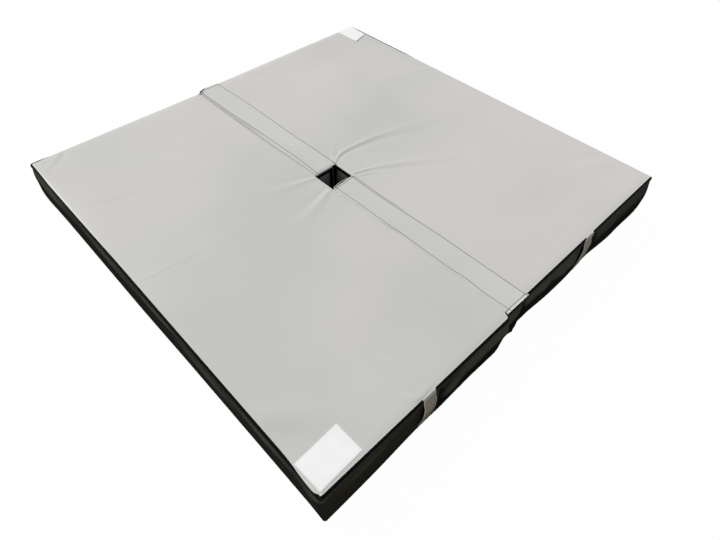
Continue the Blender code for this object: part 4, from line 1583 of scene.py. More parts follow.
@dataclass
class HalfCovers:
    """A half's top panel, base panel and the two layers of foam between them."""

    plan: HalfPlan
    relief: TopRelief
    fine: float = 0.0060
    coarse: float = 0.0150
    hidden_fine: float = 0.0200
    base_coarse: float = 0.0500
    firm_coarse: float = 0.0300
    foam_levels: tuple[float, ...] = (0.1600, 0.1200, 0.0800, 0.0450, 0.0220)
    rim_highlight: float = 0.75

    def upper(self, grid: PlanSheet, inset: float,
              relief: Callable[[Array, Array], Array]) -> Array:
        """Points of the rounded top, drawn in by an inset, with a relief over its level.

        Args:
            grid: The plan's grid.
            inset: How far it is drawn in.
            relief: Height over the level, from both plan places.

        Returns:
            World points.
        """
        u, v = grid.outline(inset)
        s = self.plan.sizes
        z = s.height - grid.rim + grid.rise(inset) + relief(u, v) * grid.share()
        return self.plan.place(u, v, z)

    def level(self, grid: PlanSheet, inset: float, z: float) -> Array:
        """Points of a flat layer at one height."""
        return self.plan.place(*grid.outline(inset), np.full((len(grid.u), len(grid.v)), z))

    def lower(self, grid: PlanSheet, inset: float) -> Array:
        """Points of the rounded floor face, drawn in by an inset."""
        return self.plan.place(*grid.outline(inset), grid.rim - grid.rise(inset))

    def build(self) -> None:
        """Make the four pieces."""
        s, plan = self.plan.sizes, self.plan
        grid = PlanSheet(plan, s.top_rim, self.fine, self.coarse)
        layers = [self.upper(grid, 0.0, self.relief.at), self.level(grid, 0.0, s.top_seam),
                  self.level(grid, s.sheet, s.top_seam),
                  self.upper(grid, s.sheet, self.relief.at)]
        # Painted highlight for the mark called edge: the rim's roll, and a band inside the outer
        # edges, strongest on the left half's outer side towards the back.
        edge = grid.from_outside()
        far_end = smooth(grid.v[None, :], 0.10, 1.05) if plan.side < 0 else 0.0
        at_side = (s.half_width - grid.u < 0.03)[:, None]
        tape_side_highlight = (0.08 + 0.80 * far_end * at_side) * fade(edge, 0.0100, 0.0175)
        pale = np.maximum(self.rim_highlight * fade(grid.share(), 0.25, 0.95),
                          tape_side_highlight)
        cover = add_piece(plan.name + "_top_cover",
                          grid.solid(layers, {"edge": [pale] * len(layers)}), Finish.COVER,
                          plan.body, plan.name + "_top_panel")
        self.build_base()
        self.build_foam()

    def build_base(self) -> None:
        """The floor panel with its turned-up rim."""
        s, plan = self.plan.sizes, self.plan
        grid = PlanSheet(plan, s.base_rim, self.hidden_fine, self.base_coarse)
        layers = [self.lower(grid, s.sheet), self.level(grid, s.sheet, s.base_seam),
                  self.level(grid, 0.0, s.base_seam), self.lower(grid, 0.0)]
        add_piece(plan.name + "_base_cover", grid.solid(layers), Finish.BASE, plan.body,
                  plan.name + "_base_panel")

    def build_foam(self) -> None:
        """The soft block and the firm layer over it."""
        s, plan = self.plan.sizes, self.plan
        inset = s.sheet + s.fit
        split = s.height - inset - s.firm_layer
        grid = PlanSheet(plan, s.base_rim, self.hidden_fine, self.base_coarse)
        layers = [self.level(grid, inset, z) for z in (split - s.fit / 2, *self.foam_levels)]
        layers.append(self.lower(grid, inset))
        soft = add_piece(plan.name + "_soft_block", grid.solid(layers), Finish.SOFT_FOAM,
                         plan.body, plan.name + "_soft_foam")
        grid = PlanSheet(plan, s.top_rim, self.hidden_fine, self.firm_coarse)
        layers = [self.upper(grid, inset, self.relief.foam)] + [
            self.level(grid, inset, z) for z in (s.binding_top, s.wall_top, split + s.fit / 2)]
        firm = add_piece(plan.name + "_firm_layer", grid.solid(layers), Finish.FIRM_FOAM,
                         plan.body, plan.name + "_firm_foam")


# Walls


@dataclass(frozen=True)
class Fold:
    """A long swelling of a wall: where it is, how long, how high, how tilted and how proud."""

    run: float
    height: float
    length: float
    width: float
    lift: float
    tilt: float = 0.0

    def at(self, run: Array, height: Array) -> Array:
        """Its share of the wall's offset: a bell curve along it times one across it.

        Args:
            run: Distances along the perimeter.
            height: Heights.

        Returns:
            The offsets.
        """
        turn = math.radians(self.tilt)
        a = (run - self.run) * math.cos(turn) + (height - self.height) * math.sin(turn)
        b = (height - self.height) * math.cos(turn) - (run - self.run) * math.sin(turn)
        return self.lift * np.exp(-((a / self.length) ** 2) - (b / self.width) ** 2)


@dataclass
class Walls:
    """A half's standing walls, its binding, and the lining of its notch."""

    plan: HalfPlan
    ruffle: RuffledCloth
    folds: tuple[Fold, ...]
    strap_run: float = 0.5610
    strap_width: float = 0.0730
    seam_from_corner: float = 0.6110
    bulge: float = 0.0040
    bulge_inner: float = 0.0025
    ruffle_share: float = 0.55
    zip_height: float = 0.1270
    zip_half: float = 0.0110
    tape_half: float = 0.0080
    spacing: float = 0.0075
    spacing_up: float = 0.0085
    spacing_inner: float = 0.0120
    inner_swell: float = 0.0016
    lining_swell: float = 0.0022
    lining_full: float = 0.1000
    crest_slopes: tuple[float, float] = (0.07, 0.30)
    near_dip: tuple[float, float, float] = (0.0150, 0.0500, 0.1200)
    binding_step: float = 0.0080
    binding_lines: int = 8
    binding_lift: float = 0.0006
    binding_knees: tuple[float, float] = (0.0035, 0.0080)
    binding_width: float = 0.024
    strap_press: float = 0.85
    lining_steps: tuple[float, float] = (0.005, 0.009)
    tape_steps: tuple[float, float] = (0.0032, 0.008)
    tape_thick: tuple[float, float] = (0.0003, 0.0009)
    binding_reach: float = 0.0088
    outer_wrap: Knots = ((0.0, 1.0), (1.0, 1.0))
    back_wrap: tuple[float, float] = (-0.10, 0.04)
    most_turn: float = 82.0
    least_turn: float = 12.0

    def __post_init__(self) -> None:
        """Walk the half's perimeter."""
        self.path = Perimeter(self.plan)

    def strap_u(self) -> float:
        """Distance of the straps' middle from the seam face."""
        if self.plan.side < 0:
            return self.plan.sizes.half_width - self.strap_run
        return self.strap_run

    def at_strap(self, run: Array, length: float = 0.05) -> Array:
        """How near a place is to a strap, as a smooth step beside it.

        Args:
            run: Distances along the perimeter.
            length: Length of the step; a short one starts under the strap's own edge.

        Returns:
            1 at a strap and 0 away from it.
        """
        front = self.path.front(self.strap_u())
        back = self.path.back(self.strap_u())
        reach = self.strap_width / 2 + (-0.006 if length < 0.02 else 0.004)
        near = np.minimum(np.abs(run - front), np.abs(run - back))
        return fade(near, reach, reach + length)

    def wrap(self, run: Array) -> Array:
        """How far the binding folds over the rim: not under the straps nor at the back.

        Args:
            run: Distances along the perimeter.

        Returns:
            1 where it is folded and 0 where it stands.
        """
        starts = self.path.starts
        side = smooth(run, starts[3], starts[4])
        behind = smooth(run, starts[5] + self.back_wrap[0], starts[5] + self.back_wrap[1])
        length = starts[5] - starts[4]
        share = along((run - starts[4]) / length, self.outer_wrap)
        folded = 1.0 + (share - 1.0) * side - share * behind
        if self.plan.side < 0:
            bare = smooth(run, starts[4] - 0.016, starts[4] + 0.004)
            folded = folded * (1.0 - bare * fade(run, starts[4] + 0.03, starts[4] + 0.24))
        return folded * (1.0 - self.at_strap(run, 0.006))

    def offset(self, run: Array, z: Array, low: float, high: float,
               back: bool = False) -> Array:
        """How far a wall stands out at a distance along it and a height.

        The wall swells like a shallow arch between its seams, and folds and simulated ruffle
        add to that. Beside a strap it is drawn flat.

        Args:
            run: Distances along the perimeter.
            z: Heights.
            low: Height of the wall's lower edge.
            high: Height of its upper edge.
            back: Whether it is a back wall.

        Returns:
            Distances outward.
        """
        t = np.clip((z - low) / (high - low), 0.0, 1.0)
        arch = 4.0 * t * (1.0 - t)
        ends = smooth(t, 0.0, 0.10) * fade(t, 0.94, 1.0)
        swell = (self.bulge_inner if back else self.bulge) * arch
        folds = sum(fold.at(run, z) for fold in self.folds)
        span = self.plan.sizes.wall_top - self.plan.sizes.wall_base
        soft = self.ruffle.at(run, np.clip(z - self.plan.sizes.wall_base, 0.0, span))
        calm = 1.0 - self.at_strap(run)
        return np.maximum(swell + (folds + soft * self.ruffle_share) * ends, 0.0) * calm

    def points(self, run: Array, z: Array, out: Array) -> Array:
        """World points that stand off the perimeter.

        Args:
            run: Distances along the perimeter.
            z: Heights.
            out: Distances off it, outward.

        Returns:
            The points.
        """
        place, normal = self.path.at(run)
        where = place + normal * out[..., None]
        return self.plan.place(where[..., 0], where[..., 1], z)

    def strip(self, name: str, node: str, start: float, end: float, low: float, high: float,
              finish: Finish, back: bool = False) -> None:
        """One wall between two distances along the perimeter and two heights.

        Args:
            name: Name of the piece after the half's.
            node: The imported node's name after the half's.
            start: Distance at which it starts.
            end: Distance at which it ends.
            low: Height of its lower edge.
            high: Height of its upper edge.
            finish: Its finish.
            back: Whether it is a back wall, which swells less.
        """
        run, z = lattice(steps(start, end, self.spacing), steps(low, high, self.spacing_up))
        out = self.offset(run, z, low, high, back)
        # Painted sheen for the crest mark: high where the wall faces up, plus a bright strip at
        # the right half's front outer corner, and less near the left half's near corner.
        crest = smooth(-np.gradient(out, z[0], axis=1), *self.crest_slopes)
        if self.plan.side > 0:
            crest = np.maximum(crest, 0.8 * hump(run, self.path.starts[4] - 0.010, 0.022))
        else:
            crest = crest * (1.0 - 0.75 * hump(run, self.path.starts[4] + 0.07, 0.09))
        made = close_sheet(self.points(run, z, out),
                           self.points(run, z, out - self.plan.sizes.sheet), uv=(run, z - low),
                           marks={"crest": crest})
        add_piece(f"{self.plan.name}_{name}", made, finish, self.plan.body,
                  f"{self.plan.name}_{node}")

    def build(self) -> None:
        """Make the walls, the binding, the notch's lining and the seam tape."""
        s, plan, path = self.plan.sizes, self.plan, self.path
        low, high = s.wall_base, s.wall_top
        outer_start = path.front(s.half_width - s.outer_corner)
        outer_end = path.back(s.half_width - s.outer_corner)
        start = path.front(s.seam_corner + s.fit)
        finish = Finish.OUTER_MESH if plan.side < 0 else Finish.RIGHT_WALL
        self.strip("outer_side", "outer_wall", outer_start, outer_end, low, high, finish)
        if plan.side < 0:
            seam = path.front(s.half_width - self.seam_from_corner)
            self.strip("front_vinyl_side", "front_vinyl_wall", start, seam - s.fit / 2, low,
                       high, Finish.WALL)
            self.strip("front_mesh_side", "front_mesh_wall", seam + s.fit / 2,
                       outer_start - s.fit, low, high, Finish.WALL_MESH)
            self.build_seam_tape(seam)
        else:
            self.strip("front_side", "front_wall", start, outer_start - s.fit, low, high,
                       Finish.RIGHT_WALL)
        back_start, back_end = outer_end + s.fit, path.back(s.seam_corner + s.fit)
        self.strip("back_lower_side", "back_wall_lower", back_start, back_end, low,
                   self.zip_height - self.zip_half - s.fit, Finish.WALL, True)
        self.strip("back_upper_side", "back_wall_upper", back_start, back_end,
                   self.zip_height + self.zip_half + s.fit, high, Finish.WALL, True)
        self.build_inner("seam_side_front", "seam_wall_front", 0.0, path.front(s.seam_corner))
        self.build_inner("seam_side_back", "seam_wall_back", path.back(s.seam_corner),
                         float(path.starts[-1]))
        self.build_binding()
        self.build_lining()
        if plan.side < 0:
            HoleLip(plan).build()

    def build_inner(self, name: str, node: str, start: float, end: float) -> None:
        """A wall that faces the other half: nearly flat, since the halves press together.

        It stands out by an arch of its height times a sum of two sines along it.

        Args:
            name: Name of the piece after the half's.
            node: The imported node's name after the half's.
            start: Distance along the perimeter at which it starts.
            end: Distance at which it ends.
        """
        s = self.plan.sizes
        run, z = lattice(steps(start, end, self.spacing_inner),
                         steps(s.wall_base, s.binding_top, self.spacing_inner))
        t = (z - s.wall_base) / (s.binding_top - s.wall_base)
        wavy = 0.5 + 0.3 * np.sin(run * 23.0) + 0.2 * np.sin(run * 9.0 + z * 31.0)
        out = self.inner_swell * 4.0 * t * (1.0 - t) * wavy
        # Painted sheen: the crest mark lightens the wall's swells.
        made = close_sheet(self.points(run, z, out), self.points(run, z, out - s.sheet),
                           uv=(run, z - s.wall_base),
                           marks={"crest": out / (2.0 * self.inner_swell)})
        add_piece(f"{self.plan.name}_{name}", made, Finish.LINING, self.plan.body,
                  f"{self.plan.name}_{node}")

    def build_binding(self) -> None:
        """The rounded tape round the three outer sides, folded up over the top panel's rim.

        Its profile stands off the walls, then goes round the rim's own centre. At the near
        corner its foot dips by a bell curve along it.
        """
        s, plan, path = self.plan.sizes, self.plan, self.path
        start = path.front(s.seam_corner + s.fit)
        end = path.back(s.seam_corner + s.fit)
        centre = s.height - s.top_rim
        rows = steps(start, end, self.binding_step)
        wrap = self.wrap(rows)[:, None]
        turns = np.radians(self.least_turn + (self.most_turn - self.least_turn) * wrap
                           ) * np.linspace(0.0, 1.0, self.binding_lines)
        flat = 1.0 - self.strap_press * self.at_strap(rows)[:, None]
        knee, upper_knee = self.binding_knees
        shells = []
        for gap, foot, lift in ((s.fit + s.sheet, 0.0, self.binding_lift),
                                (s.fit, -s.sheet, 0.0)):
            radius = s.top_rim + gap
            arc = radius * np.cos(turns) - s.top_rim + lift * np.cos(turns)
            arc_end = arc[:, -1:]
            rise_end = centre + radius * np.sin(turns[:, -1:])
            level = np.ones_like(wrap)
            base = s.binding_base * level
            if plan.side < 0:
                depth, place, reach = self.near_dip
                base -= depth * hump(rows, path.starts[4] + place, reach)[:, None]
            out = np.hstack([level * foot, level * (gap * 0.8 + lift), level * (gap + lift), arc,
                             arc_end + (-self.binding_reach - arc_end) * wrap])
            out = np.where(out > 0.0, out * flat, out)
            z = np.hstack([base, base + knee, base + upper_knee, centre + radius * np.sin(turns),
                           rise_end + (s.height + gap * 0.75 - rise_end) * wrap
                           + 0.0004 * (1.0 - wrap)])
            shells.append(self.points(np.broadcast_to(rows[:, None], out.shape), z, out))
        heights = shells[0][..., 2]
        # Painted sheen: the tape's upper turn is lighter, not near the left half's near corner,
        # and much lighter near its back outer corner.
        painted_tape_sheen = 0.16 * fade(heights, s.height - 0.0090, s.height - 0.0040)
        if plan.side < 0:
            painted_tape_sheen = painted_tape_sheen * (1.0 - hump(rows, path.starts[4], 0.60))[:, None]
            corner = hump(rows, path.starts[5], 0.30)[:, None]
            painted_tape_sheen = painted_tape_sheen + 0.80 * corner * fade(heights, s.height - 0.006, s.height)
        made = close_sheet(*shells, marks={"crest": painted_tape_sheen}, uv=lattice(
            rows, np.linspace(0.0, self.binding_width, heights.shape[1])))
        add_piece(plan.name + "_binding", made, Finish.BINDING, plan.body,
                  plan.name + "_top_binding")

    def build_lining(self) -> None:
        """The black lining of the notch, one strip round its three sides.

        Each side swells into the hole towards its middle and is drawn back at the corners.
        """
        s, plan = self.plan.sizes, self.plan
        mouth, start = s.notch_length / 2, s.sheet + s.fit
        knots = np.array([(start, -mouth), (plan.notch, -mouth), (plan.notch, mouth),
                          (start, mouth)])
        legs = np.linalg.norm(np.diff(knots, axis=0), axis=1)
        gone = np.concatenate([[0.0], np.cumsum(legs)])
        step, step_up = self.lining_steps
        run_places = np.unique(np.concatenate([steps(a, b, step)
                                               for a, b in zip(gone, gone[1:])]))
        run, z = lattice(run_places, steps(s.wall_base, s.binding_top, step_up))
        u = np.interp(run, gone, knots[:, 0])
        v = np.interp(run, gone, knots[:, 1])
        leg = np.clip(np.searchsorted(gone, run, side="right") - 1, 0, 2)
        facing = np.array([(0.0, 1.0), (-1.0, 0.0), (0.0, -1.0)])[leg]
        middle = np.clip((run - gone[leg]) / legs[leg], 0.0, 1.0)
        t = (z - s.wall_base) / (s.binding_top - s.wall_base)
        room = np.minimum(legs[leg] / self.lining_full, 1.0)
        arch = 4.0 * middle * (1.0 - middle)
        out = self.lining_swell * room * arch * smooth(t, 0.0, 0.15) * fade(t, 0.86, 1.0)
        # Painted light and shade: each side's middle lighter, its corners and the band under the
        # rim left dark.
        crest = smooth(arch, 0.25, 0.95) * smooth(t, 0.10, 0.30) * fade(t, 0.86, 0.95)
        corner = (middle < 1e-6) | (middle > 1.0 - 1e-6)
        back = np.where(corner[..., None], 0.0, facing)
        outer = plan.place(u + facing[..., 0] * out, v + facing[..., 1] * out, z)
        diagonal_u = np.where(corner & (run > 1e-6) & (run < gone[-1] - 1e-6), s.sheet, 0.0)
        behind_u = u - back[..., 0] * s.sheet + diagonal_u
        behind_v = v - back[..., 1] * s.sheet + np.where(corner, np.sign(v) * s.sheet, 0.0)
        inner = plan.place(behind_u + facing[..., 0] * out, behind_v + facing[..., 1] * out, z)
        made = close_sheet(outer, inner, uv=(run, z - s.wall_base), marks={"crest": crest},
                           swell=0.0)
        add_piece(plan.name + "_hole_lining", made, Finish.HOLE, plan.body,
                  *(f"{plan.name}_hole_wall_{end}" for end in ("front", "back", "end")))

    def build_seam_tape(self, seam: float) -> None:
        """The double-sewn tape over the seam where mesh meets vinyl.

        It is rounded over by the fourth power of the share across it.

        Args:
            seam: Distance of the seam along the perimeter.
        """
        s, plan = self.plan.sizes, self.plan
        half, (step, step_up), (edge, middle) = self.tape_half, self.tape_steps, self.tape_thick
        run, z = lattice(steps(seam - half, seam + half, step),
                         steps(s.wall_base, s.wall_top, step_up))
        out = self.offset(run, z, s.wall_base, s.wall_top) + s.fit
        round_over = 1.0 - ((run - seam) / half) ** 4
        made = close_sheet(self.points(run, z, out + edge + middle * round_over),
                           self.points(run, z, out), uv=(z, run - seam + half))
        add_piece("left_seam_tape", made, Finish.SEAM_TAPE, plan.body, "left_front_seam_tape")


@dataclass
class HoleLip:
    """The lining's loose lip at the hole's front rim, with a pale welt on its edge."""

    plan: HalfPlan
    seam_end: float = 0.0010
    far_end: float = 0.0090
    reach: float = 0.0150
    belly: float = 0.0070
    slant: float = 0.0050
    depth: float = 0.0035
    droop: float = 0.0015
    thick: float = 0.0008
    welt_width: float = 0.0050
    welt_rise: float = 0.0004
    welt_edge: float = 0.0002
    welt_round: float = 0.0014

    def build(self) -> None:
        """Make the lip and its welt.

        The lip reaches over the hole by a half sine along the rim, less a straight slant, and
        droops by a smooth step. The welt's section is half an ellipse above and below.
        """
        s, plan = self.plan.sizes, self.plan
        t, w = unit_lattice(25, 7)
        u = self.seam_end + (plan.notch - self.far_end - self.seam_end) * t
        root = -s.notch_length / 2 + 2.0 * s.fit
        reach = self.reach + self.belly * np.sin(math.pi * t) - self.slant * t
        z = s.height - self.depth - self.droop * smooth(w, 0.0, 1.0)
        low = plan.place(u, root + reach * w, z)
        add_piece("hole_lip", close_sheet(low + UP * self.thick, low), Finish.LINING, plan.body)
        round_off = np.sqrt(1.0 - (2.0 * w - 1.0) ** 2)
        edge_z = s.height - (self.depth + self.droop) + self.welt_rise
        flat = plan.place(u, root + reach - self.welt_edge + self.welt_width * w,
                          np.full_like(u, edge_z))
        rise = UP * (self.welt_edge + self.welt_round * round_off)[..., None]
        add_piece("hole_welt", close_sheet(flat + rise, flat - rise), Finish.COVER, plan.body)


# Straps


@dataclass
class CarryStrap:
    """A strap sewn to a wall at its top and bottom, a little off it between."""

    plan: HalfPlan
    end: int
    middle_u: float
    width: float = 0.0690
    thick: float = 0.0026
    standoff: float = 0.0120
    tab: float = 0.0060
    bend: float = 0.0500
    base_inset: float = 0.0150
    base_bend: float = 0.1300
    drift: Knots = ((0.0, -0.0040), (0.5, -0.0020), (0.75, 0.0020), (1.0, -0.0100))
    turn: float = 58.0
    back_turn: float = 8.0
    turn_share: float = 0.06
    thread_run: float = 0.25
    hem: tuple[float, float] = (0.0068, 0.0082)
    hem_thick: float = 0.38
    edge_thick: float = 0.55
    cup: float = 0.0012
    fold: tuple[float, float] = (0.030, 0.018)
    fold_highlight: float = 0.85
    end_shade: tuple[float, float] = (0.004, 0.013)
    painted_shade: tuple[float, float] = (0.38, 0.75)
    painted_shade_share: float = 0.22
    rows: int = 72
    columns: int = 19

    def path(self, t: Array) -> tuple[Array, Array]:
        """Distance out and height of the inner face, from the top end to the bottom one.

        The top end goes round the rim and its tape on an arc. Below it the strap moves out by a
        smooth step of the height and back in by a longer one.

        Args:
            t: Shares of the way down.

        Returns:
            Distances out from the wall, and heights.
        """
        s = self.plan.sizes
        centre = s.height - s.top_rim
        radius = s.top_rim + s.sheet + 2.0 * s.fit
        turn = self.turn if self.end < 0 else self.back_turn
        angle = math.radians(turn) * (1.0 - np.clip(t / self.turn_share, 0.0, 1.0))
        below = np.clip((t - self.turn_share) / (1.0 - self.turn_share), 0.0, 1.0)
        z = centre + radius * np.sin(angle) + (self.base_inset - centre) * below
        rise = smooth(centre - z, self.tab, self.tab + self.bend)
        fall = smooth(z - self.base_inset, self.tab, self.tab + self.base_bend)
        rest = radius * np.cos(angle) - s.top_rim
        out = rest + (self.standoff - rest) * rise * fall - (rest - s.fit) * (1.0 - fall)
        return out, z

    def build(self) -> None:
        """Make the strap: a band with thicker hems, cupped by the square of the share across."""
        s, plan = self.plan.sizes, self.plan
        t, w = unit_lattice(self.rows, self.columns, -1.0)
        out, z = self.path(t)
        side = (1.0 - np.abs(w)) * self.width / 2
        hem = fade(side, *self.hem)
        cupped = out + self.cup * w * w * np.sin(math.pi * t)
        body = self.thick * (1.0 - self.hem_thick * (1.0 - hem))
        body = body * np.where(side < 1e-6, self.edge_thick, 1.0)
        u = self.middle_u + w * self.width / 2 + plan.side * along(t, self.drift)
        face = self.end * s.length / 2
        inner = plan.place(u, face + self.end * cupped, z)
        normal = grid_normals(inner)
        outward = np.sign(normal[self.rows // 2, self.columns // 2, 1] * self.end)
        outer = inner + normal * outward * body[..., None]
        # Painted highlight on the top fold; painted shade at the top end and towards the lower
        # end.
        fold = hump(t, *self.fold) * self.fold_highlight
        end = fade(t, *self.end_shade)
        painted_shade = self.painted_shade_share * smooth(t, *self.painted_shade)
        middle = inner[:, self.columns // 2]
        made = close_sheet(outer, inner, uv=(w * self.width / 2, t * self.thread_run),
                           marks={"side": side, "edge": fold, "end": end, "painted_shade": painted_shade})
        name = f"{plan.name}_{'front' if self.end < 0 else 'back'}_strap"
        item = add_piece(name + "_band", made, Finish.STRAP, plan.body, name)


# Flaps


@dataclass
class Flap:
    """A flap sewn to the right half, with its hook strip and the loop strip under it."""

    name: str
    hole_end: int
    hole_y: tuple[float, float]
    free_edge: Knots
    sewn_edge: Knots
    stitch_edge: Knots
    hem: Knots
    proud: Knots
    width: float = 0.1524
    hinge_x: float = 0.0187
    hinge_z: float = 0.2553
    leaf_end: tuple[float, float] = (0.0040, 0.0)
    strip_end: tuple[float, float] = (0.0160, 0.0)
    strip_width: float = 0.0508
    strip_inset: float = 0.0040
    strip: float = 0.0015
    leaf: float = 0.0013
    hem_rise: float = 0.0007
    edge_thin: tuple[float, float] = (0.45, 0.55)
    loop_ramp: tuple[float, float] = (-0.0065, 0.0125)
    hook_ramp: tuple[float, float] = (0.0558, 0.0748)
    droop_ramp: tuple[float, float] = (-0.0005, 0.0060)
    pucker: float = 0.0009
    pucker_y: tuple[float, float] = (-0.838, 0.02)
    pucker_x: tuple[float, float] = (-0.054, 0.012)
    ripple: float = 0.0005
    hole_hem: tuple[float, float] = (0.0085, 0.0105)
    outer_hem: tuple[float, float] = (0.0120, 0.0140)
    corner_shade_radius: float = 0.0042
    corner_shade_dark: float = 0.9
    droop: float = 0.75
    ridge_back: float = 0.0600
    hook_from_hole: float = 0.0170
    loop_from_hole: float = 0.0012
    loop_from_end: float = 0.0075
    loop_far_u: float = 0.0075
    loop_flare: float = 0.0110

    def ends(self, x: Array, stop: tuple[float, float]) -> tuple[Array, Array]:
        """Y of the hole end and the outer end of a layer of the flap.

        Args:
            x: Nominal X across the flap.
            stop: How far the layer stops short of the mat's end, and how much more its free
                corner is cut.

        Returns:
            Y of both ends at each X.
        """
        away = (self.hinge_x - x) / self.width
        hole = self.hole_y[0] + (self.hole_y[1] - self.hole_y[0]) * away
        gone = (x - (self.hinge_x - self.width)) / (self.strip_inset + self.strip_width)
        short = stop[0] + stop[1] * np.clip(1.0 - gone, 0.0, 1.0)
        return hole, RIGHT.y(self.hole_end * SIZES.length / 2) - self.hole_end * short

    def under(self, x: Array, y: Array) -> Array:
        """Height of the flap's underside at world places.

        It lies on the right half's cover, then steps up over the loop strip and again over the
        hook strip. Its hem stands up to a ridge at the stitch line, straight towards the free
        edge and falling by a smooth step behind, and the free edge itself droops.

        Args:
            x: World X.
            y: World Y.

        Returns:
            The heights.
        """
        s = SIZES
        free = x - along(y, self.free_edge)
        step = self.strip + s.fit
        z = step * smooth(-x, *self.loop_ramp)
        z = z + step * fade(free, *self.hook_ramp)
        z = z * (1.0 - self.droop * fade(free, *self.droop_ramp))
        hem = along(y, self.hem)
        ridge = np.clip(free / hem, 0.0, 1.0) * fade(free - hem, 0.0, self.ridge_back)
        return s.height + s.fit + z + along(y, self.proud) * ridge

    def build(self) -> None:
        """Make the leaf, the hook strip and the loop strip."""
        self.build_leaf()
        self.build_hook()
        self.build_loop()

    def build_leaf(self) -> None:
        """The leaf, with thicker hems round it and low ripples, a sine on a slant."""
        near_end = np.array([0.003, 0.006, 0.009, 0.0115, 0.014])
        w, t = lattice(self.lines_across(), np.unique(np.concatenate([
            np.linspace(0.0, 1.0, 200), near_end, 1.0 - near_end])))
        nominal = self.hinge_x - w * self.width
        hole, outer = self.ends(nominal, self.leaf_end)
        y = hole + (outer - hole) * t
        x_sewn, x_free = along(y, self.sewn_edge), along(y, self.free_edge)
        x = x_sewn + (x_free - x_sewn) * w
        away = w * self.width
        from_free, from_hole = x - x_free, np.abs(y - hole)
        from_outer = np.abs(outer - y)
        hem = along(y, self.hem)
        hems = np.maximum.reduce([fade(from_free, hem - 0.001, hem + 0.001),
                                  fade(from_hole, *self.hole_hem),
                                  fade(from_outer, *self.outer_hem)])
        crinkle = self.pucker * hump(y, *self.pucker_y) * hump(x, *self.pucker_x)
        crinkle = (crinkle + self.ripple * np.sin(y * 21.0 + x * 9.0)
                   * smooth(away, 0.03, 0.06) * fade(away, 0.07, 0.10))
        z = self.under(x, y) + crinkle.clip(0.0)
        thinnest, more = self.edge_thin
        body = (self.leaf + self.hem_rise * hems) * (
            thinnest + more * smooth(from_free, 0.0, 0.006))
        low = np.stack([x, y, z], axis=-1)
        high = low + UP * body[..., None]
        # Pale ends and free edge for the mark called edge: partly the cloth's raw edge, partly a
        # painted highlight.
        edge = np.maximum.reduce([fade(from_outer, 0.0015, 0.006),
                                  fade(from_hole, 0.0015, 0.005) * 0.8,
                                  fade(from_free, 0.0010, 0.0035) * 0.35])
        stitch_side = x - along(y, self.stitch_edge)
        twin = np.zeros_like(y) if self.hole_end > 0 else 0.8 * smooth(y, -0.50, -0.38)
        # The mark called knot paints shadow: a dark spot where the stitch line meets the end hem's
        # row, and on the back flap a dark line along its outer end.
        row = from_outer - FlapVinyl.end_hem
        if self.hole_end > 0:
            row = from_hole - FlapVinyl.hole_hem
        knot = self.corner_shade_dark * hump(np.hypot(stitch_side, row), 0.0, self.corner_shade_radius)
        if self.hole_end > 0:
            knot = np.maximum(knot, 0.75 * fade(from_outer, 0.0010, 0.0050)
                              * fade(x, -0.07, 0.01))
        # Painted shade on the back flap's hem, between its free edge and its stitch line.
        painted_shade = fade(from_free, hem - 0.003, hem + 0.002) * smooth(y, 0.35, 0.75)
        made = close_sheet(high, low, uv=(x, y), marks={
            "painted_shade": painted_shade, "free_side": from_free, "hole_end": from_hole,
            "outer_end": from_outer, "stitch_side": stitch_side, "hem_width": hem,
            "edge": edge, "twin": twin, "knot": knot})
        leaf = add_piece(self.name + "_flap_cloth", made, Finish.FLAP, None,
                         self.name + "_flap_leaf")
        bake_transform(leaf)

    def lines_across(self) -> Array:
        """The grid's lines across the flap, closer at its edges and hem.

        Returns:
            Shares of the flap's width.
        """
        fine = np.array([0.0, 0.0015, 0.004, 0.007, 0.010, 0.013, 0.017, 0.021])
        rows = np.concatenate([fine, np.arange(0.026, 0.122, 0.0055), self.width - np.array(
            [0.0, 0.0015, 0.0035, 0.006, 0.009, 0.012, 0.0145, 0.016, 0.0175, 0.019, 0.0215,
             0.0235, 0.0255, 0.0285])])
        return np.unique(np.round(rows, 6)) / self.width

    def build_hook(self) -> None:
        """The hook strip under the leaf, near its free edge."""
        s = SIZES
        w, t = unit_lattice(7, 110)
        nominal = self.hinge_x - self.width + self.strip_inset + w * self.strip_width
        _, outer = self.ends(nominal, self.strip_end)
        hole = self.hole_end * (s.notch_length / 2 + self.hook_from_hole)
        y = hole + (outer - hole) * t
        x = nominal + along(y, self.free_edge) - (self.hinge_x - self.width)
        low = np.stack([x, y, self.under(x, y) - self.strip - s.fit], axis=-1)
        self.add_strip("hook", Finish.HOOK, low, self.name + "_flap",
                       self.name + "_flap_hook")

    def build_loop(self) -> None:
        """The wide loop strip on the left half, out to the grey cover's edge.

        It is laid in the left half's plan measures. At its outer end it widens by a smooth
        step, because the grey cover has a round corner there.
        """
        s, plan = SIZES, LEFT
        w, t = unit_lattice(17, 130)
        end = self.hole_end * (s.length / 2 - self.loop_from_end)
        start = self.hole_end * (s.notch_length / 2 + self.loop_from_hole)
        slant = 0.0 if self.hole_end < 0 else s.setback * (1.0 - w)
        v = start + slant + (end - start - slant) * t
        near_u = -along(plan.y(v), self.free_edge) - s.seam_gap / 2 - self.strip_inset
        near_u = near_u + (self.loop_flare + self.strip_inset) * smooth(
            np.abs(v), s.length / 2 - 0.030, s.length / 2 - 0.006)
        u = self.loop_far_u + (near_u - self.loop_far_u) * w
        low = plan.place(u, v, np.full_like(u, s.height + s.fit))
        self.add_strip("loop", Finish.LOOP, low, plan.body, self.name + "_loop")

